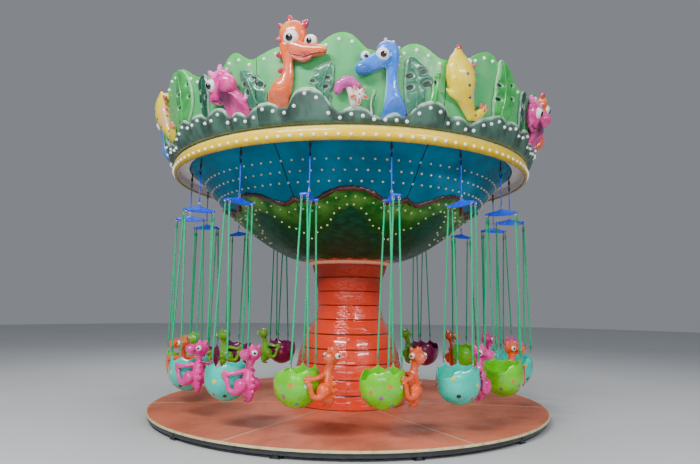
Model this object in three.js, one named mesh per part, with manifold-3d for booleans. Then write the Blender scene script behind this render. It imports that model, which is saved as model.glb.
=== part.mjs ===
// Chair swing ride for small children: sixteen egg-shaped seats hang from a turning canopy on a column.
// Millimetres, +Z up. The origin is on the ground under the column's axis, and -Y is the front.
import * as THREE from "three";
import { mergeVertices } from "three/addons/utils/BufferGeometryUtils.js";
import Module from "manifold-3d";

const wasm = await Module();
wasm.setup();

// Driving dimensions
const GAP = 0.3; // between pieces that touch
const DECK_RADIUS = 3000;
const DECK_TOP = 120;
const DECK_THICKNESS = 25;
const BEAM_HEIGHT = 55;
const BEAM_WIDTH = 80;
const FOOT_COUNT = 12;
const FOOT_RADIUS = 45;
const MAST_RADIUS = 140;
const MAST_TOP = 3540;
const CLADDING_TOP = 2135; // above the deck, as are the next two
const COLUMN_TOP = 2165;
const BOWL_BOTTOM = 2180;
const SEAT_COUNT = 16;
const PANEL_COUNT = 8;
const HANG_RADIUS = 2530; // circle of the hanging eyes
const PIVOT_HEIGHT = 3340; // of the hanging eyes, above the deck
const BOWL_TOP = 3550;
const RING_INNER = 2735;
const RING_OUTER = 2800;
const RING_SIDES = 48;
const RING_BOTTOM = 3410;
const RING_TOP = 3600;
const ROOF_TOP = 4150; // underside of the lid at the middle, above the deck
const BOWL_THICKNESS = 20;
const CLADDING_THICKNESS = 20;
const SPREADER_HEIGHT = 2786; // middle of the spreader, above the deck
const SPREADER_LENGTH = 400;
const ROPE_RADIUS = 12;
const EGG_BOTTOM = 330; // above the deck
const EGG_OFFSET = -100; // the egg trails the hanger
const LUG_HEIGHT = 818; // where the ropes meet the egg, above the deck

const PANEL_ANGLE = 360 / PANEL_COUNT;
const SEAT_ANGLE = 360 / SEAT_COUNT;

// Colours, roughness and metalness
const finish = (color, roughness, metalness) =>
  new THREE.MeshStandardMaterial({ color, roughness, metalness });
const finishes = {
  deck: finish(0xb4705f, 0.75, 0.1),
  frame: finish(0x3a3f44, 0.6, 0.6),
  steel: finish(0x8d9296, 0.45, 0.8),
  column: finish(0xf0603a, 0.25, 0),
  bowlGreen: finish(0x2f7a45, 0.3, 0),
  bowlBlue: finish(0x1a5f7a, 0.25, 0),
  ring: finish(0xe8c840, 0.35, 0),
  crown: finish(0x5aa878, 0.4, 0),
  roof: finish(0x4e8068, 0.5, 0),
  black: finish(0x1c1c1e, 0.5, 0.5),
  hanger: finish(0x0f60c8, 0.4, 0.3),
  lime: finish(0x8ad82a, 0.25, 0),
  turquoise: finish(0x18d8c8, 0.25, 0),
  purple: finish(0x8a2060, 0.25, 0),
};

// Radius against height above the deck, in pairs of [height, radius]
const COLUMN_PROFILE = [
  [0, 885],
  [200, 855],
  [400, 842],
  [600, 817],
  [1000, 705],
  [1200, 590],
  [1400, 517],
  [1800, 514],
  [2000, 563],
  [CLADDING_TOP, 612],
];
const BOWL_PROFILE = [
  [BOWL_BOTTOM, 685],
  [2300, 1095],
  [2500, 1430],
  [2700, 1710],
  [2920, 1955],
  [3200, 2230],
  [3550, 2564],
];
const CROWN_PROFILE = [
  [3600, 2800],
  [3750, 2855],
  [3900, 2900],
  [4200, 2945],
  [4700, 3000],
  [5200, 3050],
];

// The value of a profile at a height, on straight lines between its points.
function along(profile, at) {
  const first = profile[0];
  if (at <= first[0]) return first[1];
  for (let i = 1; i < profile.length; i++) {
    const [x0, y0] = profile[i - 1];
    const [x1, y1] = profile[i];
    if (at <= x1) return y0 + ((y1 - y0) * (at - x0)) / (x1 - x0);
  }
  return profile[profile.length - 1][1];
}

const radians = THREE.MathUtils.degToRad;

// A geometry as a solid that can be joined and cut, turned right side out.
function solid(geometry) {
  const bare = geometry.index ? geometry.toNonIndexed() : geometry.clone();
  bare.deleteAttribute("normal");
  bare.deleteAttribute("uv");
  const merged = mergeVertices(bare, 1e-3);
  const vertProperties = merged.attributes.position.array;
  const triVerts = new Uint32Array(merged.index.array);
  const made = new wasm.Manifold(new wasm.Mesh({ numProp: 3, vertProperties, triVerts }));
  if (made.volume() > 0) return made;
  for (let i = 0; i < triVerts.length; i += 3) {
    [triVerts[i + 1], triVerts[i + 2]] = [triVerts[i + 2], triVerts[i + 1]];
  }
  return new wasm.Manifold(new wasm.Mesh({ numProp: 3, vertProperties, triVerts }));
}

// A solid as a geometry for a mesh.
function geometryOf(made) {
  const mesh = made.getMesh();
  const geometry = new THREE.BufferGeometry();
  geometry.setAttribute("position", new THREE.BufferAttribute(mesh.vertProperties, mesh.numProp));
  geometry.setIndex(new THREE.BufferAttribute(mesh.triVerts, 1));
  geometry.computeVertexNormals();
  return geometry;
}

// Several geometries joined into one solid.
const join = (...geometries) => geometries.map(solid).reduce((a, b) => a.add(b));

const ride = new THREE.Group();

// One named sub-part, placed in a group.
function piece(name, made, material, group = ride) {
  const mesh = new THREE.Mesh(geometryOf(made), material);
  mesh.name = name;
  group.add(mesh);
  return mesh;
}

// A body of revolution about the vertical axis, from a closed outline of [radius, height] points.
function turned(outline, segments) {
  const points = outline.map(([r, z]) => new THREE.Vector2(r, z));
  return new THREE.LatheGeometry(points, segments).rotateX(Math.PI / 2);
}

// A ring of rectangular section.
function ring(inner, outer, bottom, top, segments) {
  const section = [
    [inner, bottom],
    [outer, bottom],
    [outer, top],
    [inner, top],
    [inner, bottom],
  ];
  return turned(section, segments);
}

// A box between two corners.
function box(x0, y0, z0, x1, y1, z1) {
  const geometry = new THREE.BoxGeometry(x1 - x0, y1 - y0, z1 - z0);
  return geometry.translate((x0 + x1) / 2, (y0 + y1) / 2, (z0 + z1) / 2);
}

// A bar from one point to another, round or many-sided, tapered if it has a second radius.
function bar(from, to, radius, sides, endRadius = radius) {
  const a = new THREE.Vector3(...from);
  const b = new THREE.Vector3(...to);
  const length = a.distanceTo(b);
  const geometry = new THREE.CylinderGeometry(endRadius, radius, length, sides);
  const up = new THREE.Vector3(0, 1, 0);
  const turn = new THREE.Quaternion().setFromUnitVectors(up, b.clone().sub(a).normalize());
  geometry.applyQuaternion(turn);
  const middle = a.add(b).multiplyScalar(0.5);
  return geometry.translate(middle.x, middle.y, middle.z);
}

// A rounded mass with its three half-sizes.
function blob(centre, radii, across, down) {
  const geometry = new THREE.SphereGeometry(1, across, down).rotateX(Math.PI / 2);
  geometry.scale(...radii);
  return geometry.translate(...centre);
}

// Turns a geometry that stands at the front to its azimuth, counter-clockwise from above.
const atAzimuth = (geometry, degrees) => geometry.rotateZ(radians(degrees));

// Platform: a round deck on a low frame with feet
function deck() {
  const bottom = DECK_TOP - DECK_THICKNESS;
  return solid(ring(MAST_RADIUS + 40, DECK_RADIUS, bottom, DECK_TOP, 42));
}

function baseFrame() {
  const top = DECK_TOP - DECK_THICKNESS - GAP;
  const bottom = top - BEAM_HEIGHT;
  const outer = DECK_RADIUS - 20;
  const parts = [ring(outer - BEAM_WIDTH, outer, bottom, top, 30), post(500, bottom, top, 12)];
  for (let i = 0; i < FOOT_COUNT / 2; i++) {
    const spoke = box(-BEAM_WIDTH / 2, -outer + BEAM_WIDTH / 2, bottom, BEAM_WIDTH / 2, 0, top);
    parts.push(atAzimuth(spoke, 30 + (i * 720) / FOOT_COUNT));
  }
  for (let i = 0; i < FOOT_COUNT; i++) {
    const foot = post(FOOT_RADIUS, 0, bottom + 5, 4).translate(0, -outer + BEAM_WIDTH / 2, 0);
    parts.push(atAzimuth(foot, 15 + (i * 360) / FOOT_COUNT));
  }
  return join(...parts);
}

// Mast with its foot plate on the frame's middle plate and the lower race of the slewing bearing on top
function mast() {
  const foot = DECK_TOP - DECK_THICKNESS;
  const outline = [
    [0, foot],
    [MAST_RADIUS + 30, foot],
    [MAST_RADIUS + 30, foot + 20],
    [MAST_RADIUS, foot + 20],
    [MAST_RADIUS, MAST_TOP + DECK_TOP - 60],
    [MAST_RADIUS + 80, MAST_TOP + DECK_TOP - 60],
    [MAST_RADIUS + 80, MAST_TOP + DECK_TOP],
    [0, MAST_TOP + DECK_TOP],
  ];
  return solid(turned(outline, 20));
}

// Column cladding: an open shell that stands on the deck
function columnCladding() {
  const outer = COLUMN_PROFILE.map(([z, r]) => [r, z + DECK_TOP + (z === 0 ? GAP : 0)]);
  const inner = outer.map(([r, z]) => [r - CLADDING_THICKNESS, z]).reverse();
  return solid(turned([...outer, ...inner, outer[0]], 24));
}

// Bright rim that closes the top of the column around the mast
function columnCollar() {
  const bottom = CLADDING_TOP + DECK_TOP + GAP;
  const top = COLUMN_TOP + DECK_TOP;
  const outline = [
    [MAST_RADIUS + 10, bottom],
    [along(COLUMN_PROFILE, CLADDING_TOP), bottom],
    [650, top],
    [MAST_RADIUS + 10, top],
    [MAST_RADIUS + 10, bottom],
  ];
  return solid(turned(outline, 24));
}

// One shell of the bowl between two heights above the deck
function bowlShell(bottom, top) {
  const heights = [bottom, ...BOWL_PROFILE.map(([z]) => z).filter((z) => z > bottom + 1 && z < top - 1), top];
  const outer = heights.map((z) => [along(BOWL_PROFILE, z), z + DECK_TOP]);
  const inner = heights.map((z) => [along(BOWL_PROFILE, z) - BOWL_THICKNESS, z + DECK_TOP]).reverse();
  return solid(turned([...outer, ...inner, outer[0]], 32));
}

const BOWL_SEAM = 2920;

function bowlUpper() {
  const slots = [];
  for (let i = 0; i < SEAT_COUNT; i++) {
    const slot = box(-24, -HANG_RADIUS - 24, 3380 + DECK_TOP, 24, -HANG_RADIUS + 24, 3600 + DECK_TOP);
    slots.push(solid(atAzimuth(slot, (i + 0.5) * SEAT_ANGLE)));
  }
  return slots.reduce((a, b) => a.subtract(b), bowlShell(BOWL_SEAM + GAP, BOWL_TOP));
}

// Sweep: hub, sixteen arms over the bowl's rim, and under each arm a clevis whose pin holds a hanger's eye
function clevis(pivot, top) {
  const outline = [
    [-20, top],
    [-20, pivot - 16],
    [-10, pivot - 16],
    [-10, pivot + 32],
    [10, pivot + 32],
    [10, pivot - 16],
    [20, pivot - 16],
    [20, top],
  ];
  const shape = new THREE.Shape(outline.map(([x, y]) => new THREE.Vector2(x, y)));
  return new THREE.ExtrudeGeometry(shape, { depth: 32, bevelEnabled: false })
    .translate(0, 0, -16)
    .rotateX(Math.PI / 2);
}

// A round plate or post about the vertical axis.
function post(radius, bottom, top, sides) {
  const geometry = new THREE.CylinderGeometry(radius, radius, top - bottom, sides);
  return geometry.rotateX(Math.PI / 2).translate(0, 0, (top + bottom) / 2);
}

function sweepFrame() {
  const bottom = BOWL_TOP + GAP + DECK_TOP;
  const top = bottom + 40;
  const pivot = PIVOT_HEIGHT + DECK_TOP;
  const reach = RING_INNER * Math.cos(Math.PI / RING_SIDES) - GAP;
  const parts = [
    post(300, bottom, top, 16),
    post(200, MAST_TOP + DECK_TOP + GAP, bottom + 10, 16),
    post(50, bottom, ROOF_TOP + DECK_TOP, 8),
  ];
  for (let i = 0; i < SEAT_COUNT; i++) {
    const azimuth = (i + 0.5) * SEAT_ANGLE;
    const hanging = [
      box(-25, -reach, bottom, 25, -200, top),
      clevis(pivot, bottom + 10).translate(0, -HANG_RADIUS, 0),
      bar([-15, -HANG_RADIUS, pivot], [15, -HANG_RADIUS, pivot], 8, 6),
    ];
    parts.push(...hanging.map((geometry) => atAzimuth(geometry, azimuth)));
  }
  return join(...parts);
}

// Ring that carries the crown
function lightRing() {
  return solid(ring(RING_INNER, RING_OUTER, RING_BOTTOM + DECK_TOP, RING_TOP + DECK_TOP, RING_SIDES));
}

// Crown panels: a curved sheet with a wavy top edge, a hedge before it, and figures that rise above it
const PANEL_GAP = 0.02; // degrees between two panels
const PANEL_COLUMNS = 12;
const CROWN_THICKNESS = 20;
const CROWN_BEND = 3900; // height above the deck where the sheet turns steeper
const HEDGE_DEPTH = 42; // how far the hedge stands out
const HEDGE_EASE = 12; // height of the slope on top of it
const FIGURE_BACK = -3; // how far a figure reaches into the sheet
const SHEET_TOP = 4480; // above this height a figure is round on its back too
const FLAT_RADIUS = 2950; // the figures are shaped flat and then bent to this radius

// Lid behind the crown, a flat cone
function roofCover() {
  const rim = along(CROWN_PROFILE, CROWN_BEND) - CROWN_THICKNESS - GAP;
  const outline = [
    [0, ROOF_TOP + GAP],
    [60, ROOF_TOP + GAP],
    [rim - 20, CROWN_BEND - 15],
    [rim, CROWN_BEND],
    [0, ROOF_TOP + 20],
  ].map(([r, z]) => [r, z + DECK_TOP]);
  return solid(turned(outline, 32));
}

// Puts a flat geometry onto the crown: x is degrees, y is height above the deck, z is how far it stands out.
function wrap(geometry) {
  const at = geometry.attributes.position;
  for (let i = 0; i < at.count; i++) {
    const height = at.getY(i);
    const radius = along(CROWN_PROFILE, height) + at.getZ(i);
    const azimuth = radians(at.getX(i));
    at.setXYZ(i, radius * Math.sin(azimuth), -radius * Math.cos(azimuth), height + DECK_TOP);
  }
  return geometry;
}

// The sheet of one panel with the hedge before it, from the wavy edges of both in [degrees, height] points.
function crownSheet(edge, hedge) {
  const width = PANEL_ANGLE - PANEL_GAP;
  const bottom = RING_TOP + GAP;
  const geometry = new THREE.BoxGeometry(width, 3, 1, PANEL_COLUMNS, 3, 1);
  const at = geometry.attributes.position;
  for (let i = 0; i < at.count; i++) {
    const degrees = at.getX(i);
    const row = Math.round(at.getY(i) + 1.5);
    const top = along(edge, degrees);
    const low = along(hedge, degrees);
    const foot = Math.max(low + HEDGE_EASE, CROWN_BEND);
    const front = [bottom, low, foot, top];
    const back = [bottom, CROWN_BEND, (CROWN_BEND + top) / 2, top];
    if (at.getZ(i) > 0) at.setXYZ(i, degrees, front[row], row < 2 ? HEDGE_DEPTH : 0);
    else at.setXYZ(i, degrees, back[row], -CROWN_THICKNESS);
  }
  return wrap(geometry);
}

// Bends what was shaped flat onto the crown: x runs along it, -y stands out and z is height above the deck.
function bent(geometry) {
  const at = geometry.attributes.position;
  for (let i = 0; i < at.count; i++) {
    const out = at.getZ(i) < SHEET_TOP ? Math.max(-at.getY(i), FIGURE_BACK) : -at.getY(i);
    const radius = along(CROWN_PROFILE, at.getZ(i)) + out;
    const azimuth = at.getX(i) / FLAT_RADIUS;
    at.setXYZ(i, radius * Math.sin(azimuth), -radius * Math.cos(azimuth), at.getZ(i) + DECK_TOP);
  }
  return geometry;
}

// Bars that follow each other through [x, distance outward, height, radius] points.
function limb(points) {
  const bars = [];
  for (let i = 1; i < points.length; i++) {
    const [x0, out0, z0, r0] = points[i - 1];
    const [x1, out1, z1, r1] = points[i];
    bars.push(bar([x0, -out0, z0], [x1, -out1, z1], r0, 5, r1));
  }
  return bars;
}

// Long-necked dinosaur at a place along the crown; its snout points to one side (1 right, -1 left).
function longNeck(place, foot, head, facing, size) {
  const x = (distance) => place + facing * distance * size;
  return [
    ...limb([
      [x(-150), 20, foot, 112],
      [x(-10), 40, foot + 230, 84],
      [x(0), 60, head - 150 * size, 92 * size],
    ]),
    ...limb([
      [x(60), 70, head - 165 * size, 84 * size],
      [x(390), 100, head - 195 * size, 52 * size],
    ]),
    blob([x(40), -60, head], [130 * size, 85 * size, 155 * size], 7, 5),
    blob([x(10), -125, head - 35 * size], [76 * size, 60 * size, 76 * size], 5, 4),
    blob([x(225), -110, head - 75 * size], [62 * size, 60 * size, 62 * size], 5, 4),
  ];
}

// Slender upright dinosaur with a pointed head, and its young beside it
function slimOne() {
  return [
    ...limb([
      [1315, 50, 4580, 40],
      [1345, 65, 4410, 105],
      [1385, 65, 4260, 120],
      [1475, 50, 4040, 72],
      [1560, 35, 3830, 50],
      [1760, 50, 3900, 52],
    ]),
    ...limb([
      [1380, 70, 4120, 36],
      [1190, 90, 4060, 24],
    ]),
  ];
}

// Round-headed dinosaur that looks over the hedge
function roundHead() {
  return [
    ...limb([
      [2980, 50, 4090, 100],
      [3110, 35, 3930, 112],
      [3165, 30, 3800, 122],
    ]),
    blob([2910, -60, 4240], [130, 85, 130], 7, 5),
    blob([3050, -90, 4170], [105, 80, 85], 6, 4),
    blob([2915, -60, 4385], [75, 40, 42], 5, 4),
  ];
}

// The two kinds of panel follow each other round the crown: wavy edges in [degrees, height] points.
const NECK_PANEL_EDGE = [
  [-22.5, 4380],
  [-17.5, 4500],
  [-7.5, 4510],
  [-2.5, 4610],
  [2.5, 4445],
  [7.5, 4440],
  [12.5, 4510],
  [17.5, 4470],
  [22.5, 4380],
];
const YOUNG_PANEL_EDGE = [
  [-22.5, 4380],
  [-17.5, 4500],
  [-10.5, 4635],
  [-3.5, 4620],
  [2.5, 4400],
  [7.5, 4380],
  [12.5, 4500],
  [17.5, 4520],
  [22.5, 4390],
];
const NECK_PANEL_HEDGE = [
  [-22.5, 3860],
  [-15, 3800],
  [-11.25, 4015],
  [-3.75, 3800],
  [7.5, 3730],
  [11.25, 3740],
  [17, 3890],
  [22.5, 3870],
];
const YOUNG_PANEL_HEDGE = [
  [-22.5, 3870],
  [-18.75, 3780],
  [-11.25, 3820],
  [-5, 3930],
  [3.75, 3860],
  [9, 3840],
  [15, 3920],
  [22.5, 3860],
];

function neckPanel() {
  const figures = [...longNeck(-730, 3830, 4635, 1, 1), ...longNeck(460, 3780, 4400, -1, 0.8)];
  return join(crownSheet(NECK_PANEL_EDGE, NECK_PANEL_HEDGE), ...figures.map(bent));
}

function youngPanel() {
  const middle = radians(PANEL_ANGLE) * FLAT_RADIUS;
  const figures = [...slimOne(), ...roundHead()].map((part) => bent(part.translate(-middle, 0, 0)));
  return join(crownSheet(YOUNG_PANEL_EDGE, YOUNG_PANEL_HEDGE), ...figures);
}

// Egg: a bucket with a broken rim of points; four of the points are taller and hold the ropes
const EGG_OUTER = [
  [0, 0],
  [150, 24],
  [240, 110],
  [270, 255],
  [252, 425],
];
const EGG_INNER = [
  [238, 425],
  [245, 170],
  [0, 24],
];
const EGG_SIDES = 16;
const RIM_LOW = 408;
const RIM_POINT = 462;
const RIM_STEP = 360 / EGG_SIDES;
const LUG_STEPS = [0, 2, 6, 8]; // counted from the outward side towards the leading side
const LUGS = LUG_STEPS.map((step) => {
  const reach = (EGG_OUTER[4][0] + EGG_INNER[0][0]) / 2;
  const turn = radians(step * RIM_STEP);
  return [EGG_OFFSET + reach * Math.sin(turn), -reach * Math.cos(turn)];
});

function egg() {
  const geometry = turned([...EGG_OUTER, ...EGG_INNER], EGG_SIDES);
  const at = geometry.attributes.position;
  for (let i = 0; i < at.count; i++) {
    if (at.getZ(i) < 420) continue;
    const turn = Math.atan2(at.getX(i), -at.getY(i)) / radians(RIM_STEP);
    const step = (Math.round(turn) + EGG_SIDES) % EGG_SIDES;
    const point = LUG_STEPS.includes(step) ? LUG_HEIGHT - EGG_BOTTOM : RIM_POINT;
    at.setZ(i, step % 2 === 0 ? point : RIM_LOW);
  }
  return geometry.translate(EGG_OFFSET, 0, EGG_BOTTOM + DECK_TOP);
}

// Young dinosaur that hugs the leading side of the egg and looks outward
function rider() {
  const base = DECK_TOP;
  const parts = [
    bar([225, 0, base + 450], [262, 0, base + 840], 95, 6, 55),
    blob([305, -60, base + 882], [82, 160, 95], 6, 4),
    bar([255, 0, base + 500], [330, 0, base + 370], 60, 4, 18),
  ];
  for (const side of [-1, 1]) {
    parts.push(bar([245, side * 45, base + 710], [-5, side * 262, base + 670], 24, 4, 28));
    parts.push(bar([230, side * 70, base + 530], [90, side * 245, base + 500], 78, 4, 36));
  }
  return parts;
}

// Egg and dinosaur in one, with the inside of the egg cleared
function bucketSeat() {
  const clearance = 2;
  const [mouth, belly, floor] = EGG_INNER;
  const outline = [
    [0, 700],
    [mouth[0] - clearance, 700],
    [mouth[0] - clearance, RIM_LOW],
    [belly[0] - clearance, belly[1]],
    [0, floor[1] + clearance],
  ];
  const room = turned(outline, EGG_SIDES).translate(EGG_OFFSET, 0, EGG_BOTTOM + DECK_TOP);
  return join(egg(), ...rider()).subtract(solid(room));
}

// Hanger: eye, rod, spreader with a cross-piece at each end, and four ropes down to the egg's tall points
function eyePlate() {
  const shape = new THREE.Shape();
  shape.absarc(0, 0, 21, 0, 2 * Math.PI);
  const hole = new THREE.Path();
  hole.absarc(0, 0, 10, 0, 2 * Math.PI, true);
  shape.holes.push(hole);
  return new THREE.ExtrudeGeometry(shape, { depth: 16, bevelEnabled: false, curveSegments: 3 })
    .translate(0, 0, -8);
}

function spreader() {
  const half = SPREADER_LENGTH / 2 - 8;
  const outline = [
    [-half, -25],
    [half, -25],
    [half, -13],
    [half / 2, 16],
    [0, 38],
    [-half / 2, 16],
    [-half, -13],
  ];
  const shape = new THREE.Shape(outline.map(([x, y]) => new THREE.Vector2(x, y)));
  return new THREE.ExtrudeGeometry(shape, { depth: 18, bevelEnabled: false }).translate(0, 0, -9);
}

// Stands a plate that was drawn flat upright, facing along the travel.
const upright = (geometry) => geometry.rotateX(Math.PI / 2).rotateZ(Math.PI / 2);

// A cross-piece with its two ropes, which spread to two of the egg's tall points.
function ropePair(side) {
  const height = SPREADER_HEIGHT + DECK_TOP - 10;
  const bottom = LUG_HEIGHT + DECK_TOP + GAP;
  const [trailing, leading] = LUGS.filter(([, y]) => y * side > 0).sort((a, b) => a[0] - b[0]);
  const outline = [
    [-48, height],
    [trailing[0] - ROPE_RADIUS, bottom],
    [trailing[0] + ROPE_RADIUS, bottom],
    [-25, height - 18],
    [25, height - 18],
    [leading[0] - ROPE_RADIUS, bottom],
    [leading[0] + ROPE_RADIUS, bottom],
    [48, height],
  ];
  const shape = new THREE.Shape(outline.map(([x, z]) => new THREE.Vector2(x, z)));
  const geometry = new THREE.ExtrudeGeometry(shape, { depth: 2 * ROPE_RADIUS, bevelEnabled: false })
    .translate(0, 0, -ROPE_RADIUS)
    .rotateX(Math.PI / 2);
  const at = geometry.attributes.position;
  for (let i = 0; i < at.count; i++) {
    const isTop = at.getZ(i) > bottom + 1;
    const end = at.getX(i) < 0 ? trailing[1] : leading[1];
    at.setY(i, at.getY(i) + (isTop ? (side * SPREADER_LENGTH) / 2 : end));
  }
  return geometry;
}

function hanger() {
  const pivot = PIVOT_HEIGHT + DECK_TOP;
  const middle = SPREADER_HEIGHT + DECK_TOP;
  const parts = [
    upright(eyePlate()).translate(0, 0, pivot),
    upright(spreader()).translate(0, 0, middle),
    bar([0, 0, middle + 20], [0, 0, pivot - 16], 7.5, 5),
  ];
  for (const side of [-1, 1]) parts.push(ropePair(side));
  return join(...parts);
}

// Colours of the eggs, counter-clockwise from the first one right of the front
const SEAT_COLOURS = [
  "lime",
  "turquoise",
  "lime",
  "turquoise",
  "turquoise",
  "lime",
  "purple",
  "turquoise",
  "lime",
  "purple",
  "purple",
  "purple",
  "lime",
  "turquoise",
  "turquoise",
  "lime",
];

piece("deck", deck(), finishes.deck);
piece("base_frame", baseFrame(), finishes.frame);
piece("mast", mast(), finishes.steel);
piece("column_cladding", columnCladding(), finishes.column);
piece("column_collar", columnCollar(), finishes.column);
piece("bowl_lower", bowlShell(BOWL_BOTTOM, BOWL_SEAM), finishes.bowlGreen);
piece("bowl_upper", bowlUpper(), finishes.bowlBlue);
piece("sweep_frame", sweepFrame(), finishes.black);
piece("light_ring", lightRing(), finishes.ring);
piece("roof_cover", roofCover(), finishes.roof);

const crownPanels = [neckPanel(), youngPanel()];
for (let i = 0; i < PANEL_COUNT; i++) {
  const panel = piece(`crown_panel_${i + 1}`, crownPanels[i % 2], finishes.crown);
  panel.rotation.z = radians(i * PANEL_ANGLE);
}

const hangerSolid = hanger();
const seatSolid = bucketSeat();
for (let i = 0; i < SEAT_COUNT; i++) {
  const number = String(i + 1).padStart(2, "0");
  const swing = new THREE.Group();
  swing.rotation.z = radians((i + 0.5) * SEAT_ANGLE);
  ride.add(swing);
  const hangerMesh = piece(`seat_hanger_${number}`, hangerSolid, finishes.hanger, swing);
  const seatMesh = piece(`egg_seat_${number}`, seatSolid, finishes[SEAT_COLOURS[i]], swing);
  hangerMesh.position.y = -HANG_RADIUS;
  seatMesh.position.y = -HANG_RADIUS;
}

export default ride;
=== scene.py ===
"""Chair swing ride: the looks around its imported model, laid out as an add-on."""
import math
import bmesh
import bpy
import numpy as np
from mathutils import Matrix, Vector
from mathutils.bvhtree import BVHTree
from mathutils.geometry import tessellate_polygon


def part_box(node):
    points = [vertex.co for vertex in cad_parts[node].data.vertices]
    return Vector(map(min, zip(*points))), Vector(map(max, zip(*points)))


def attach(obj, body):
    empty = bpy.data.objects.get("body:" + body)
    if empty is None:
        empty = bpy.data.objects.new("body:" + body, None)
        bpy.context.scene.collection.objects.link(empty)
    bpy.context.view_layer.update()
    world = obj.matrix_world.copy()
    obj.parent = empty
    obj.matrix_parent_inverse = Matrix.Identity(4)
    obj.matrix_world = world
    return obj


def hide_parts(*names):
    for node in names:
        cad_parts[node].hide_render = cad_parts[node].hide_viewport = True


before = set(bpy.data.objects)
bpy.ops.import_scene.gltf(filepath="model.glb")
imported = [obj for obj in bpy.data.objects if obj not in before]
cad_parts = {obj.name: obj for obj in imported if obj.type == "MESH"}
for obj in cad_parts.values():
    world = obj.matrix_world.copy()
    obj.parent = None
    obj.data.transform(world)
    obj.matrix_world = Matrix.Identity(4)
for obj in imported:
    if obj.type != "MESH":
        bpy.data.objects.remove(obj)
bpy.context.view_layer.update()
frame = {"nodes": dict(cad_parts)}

bl_info = {
    "name": "Chair swing ride",
    "version": (1, 0, 0),
    "blender": (4, 5, 0),
    "location": "View3D > Sidebar > Ride",
    "description": "Builds the pieces and finishes of a children's chair swing ride",
    "category": "Object",
}

# Heights are counted from the deck's top, in metres.
# Degrees are counted from the front, counter-clockwise as seen from above.
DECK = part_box("deck")[1].z
DECK_RADIUS = 3.0
PLATE_RADIUS = DECK_RADIUS - 0.016  # the deck's plates end at the trim
PLATE_THICKNESS = 0.025
FOOT_CIRCLE = 2.94
MAST_RADIUS = 0.14
COLUMN_TOP = 2.135
BOWL_BOTTOM = 2.18
BOWL_SEAM = 2.92
BOWL_TOP = 3.55
RING_INNER = 2.74
RING_OUTER = 2.8
RING_TOP = 3.6
ARM_BOTTOM = 3.5503
ARM_TOP = 3.5903
HANG_RADIUS = 2.53  # circle of the eyes that the seats hang on
PIVOT = 3.34
SEAT_COUNT = 16
SPREADER = 2.786
ROPE_TOP = 2.715
LUG_HEIGHT = 0.818
EGG_BOTTOM = 0.33
EGG_SHIFT = -0.1  # the egg trails its hanger
EGG_RADIUS = 0.27
PANEL = 45.0  # degrees that one of the eight crown panels spans
CROWN_FOOT = RING_TOP + 0.002
FLAT_RADIUS = 2.95  # the crown's figures are shaped flat and then bent to this radius

DARK_JOINT = "0c2018"  # tone of the joints in the crown, in six hexadecimal digits
PALE_LEAF = (0.75, 0.9, 0.8)  # tone at the leaves' edges, as linear red, green and blue

# Profiles: height and radius
COLUMN = [
    (0, 0.893), (0.06, 0.882), (0.2, 0.856), (0.4, 0.842), (0.6, 0.817), (0.8, 0.771), (1.0, 0.705),
    (1.1, 0.643), (1.2, 0.59), (1.3, 0.55), (1.4, 0.52), (1.5, 0.512), (1.6, 0.51), (1.8, 0.515),
    (1.9, 0.534), (2.0, 0.563), (COLUMN_TOP, 0.612),
]
BOWL = [
    (BOWL_BOTTOM, 0.685), (2.2, 0.79), (2.222, 0.9), (2.25, 0.985), (2.3, 1.095), (2.4, 1.28), (2.5, 1.435),
    (2.6, 1.575), (2.7, 1.7), (2.8, 1.82), (2.9, 1.935), (3.0, 2.04), (3.1, 2.14), (3.2, 2.225),
    (3.3, 2.31), (3.4, 2.405), (BOWL_TOP, 2.564),
]
CROWN = [(3.6, 2.8), (3.75, 2.855), (3.9, 2.9), (4.2, 2.945), (4.7, 3.0), (5.2, 3.05)]
SEAT_COLOURS = (
    "lime turquoise lime turquoise turquoise lime purple turquoise "
    "lime purple purple purple lime turquoise turquoise lime"
).split()


def tint(code):
    """A colour from six hexadecimal digits, as the linear values that shaders take."""
    parts = [int(code[i:i + 2], 16) / 255 for i in (0, 2, 4)]
    return tuple(c / 12.92 if c <= 0.04045 else ((c + 0.055) / 1.055) ** 2.4 for c in parts)


def length(name, description, default):
    return bpy.props.FloatProperty(name=name, description=description, default=default, min=0, unit="LENGTH")


def colour(name, description, code):
    return bpy.props.FloatVectorProperty(
        name=name, description=description, default=tint(code), size=3, min=0, max=1, subtype="COLOR"
    )


class RideSizes(bpy.types.PropertyGroup):
    """Sizes of the small pieces"""

    bulb: length("Bulb radius", "Radius of a lamp's dome", 0.0178)
    rope: length("Rope radius", "Radius of the seats' ropes", 0.0135)
    groove: length("Groove depth", "Depth of the grooves between the column's courses", 0.006)
    seam: length("Seam depth", "Depth of the joints between moulded panels", 0.006)
    wall: length("Moulding wall", "Thickness of the moulded shells", 0.014)
    sheet: length("Crown wall", "Thickness of the crown's sheet", 0.02)


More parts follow.
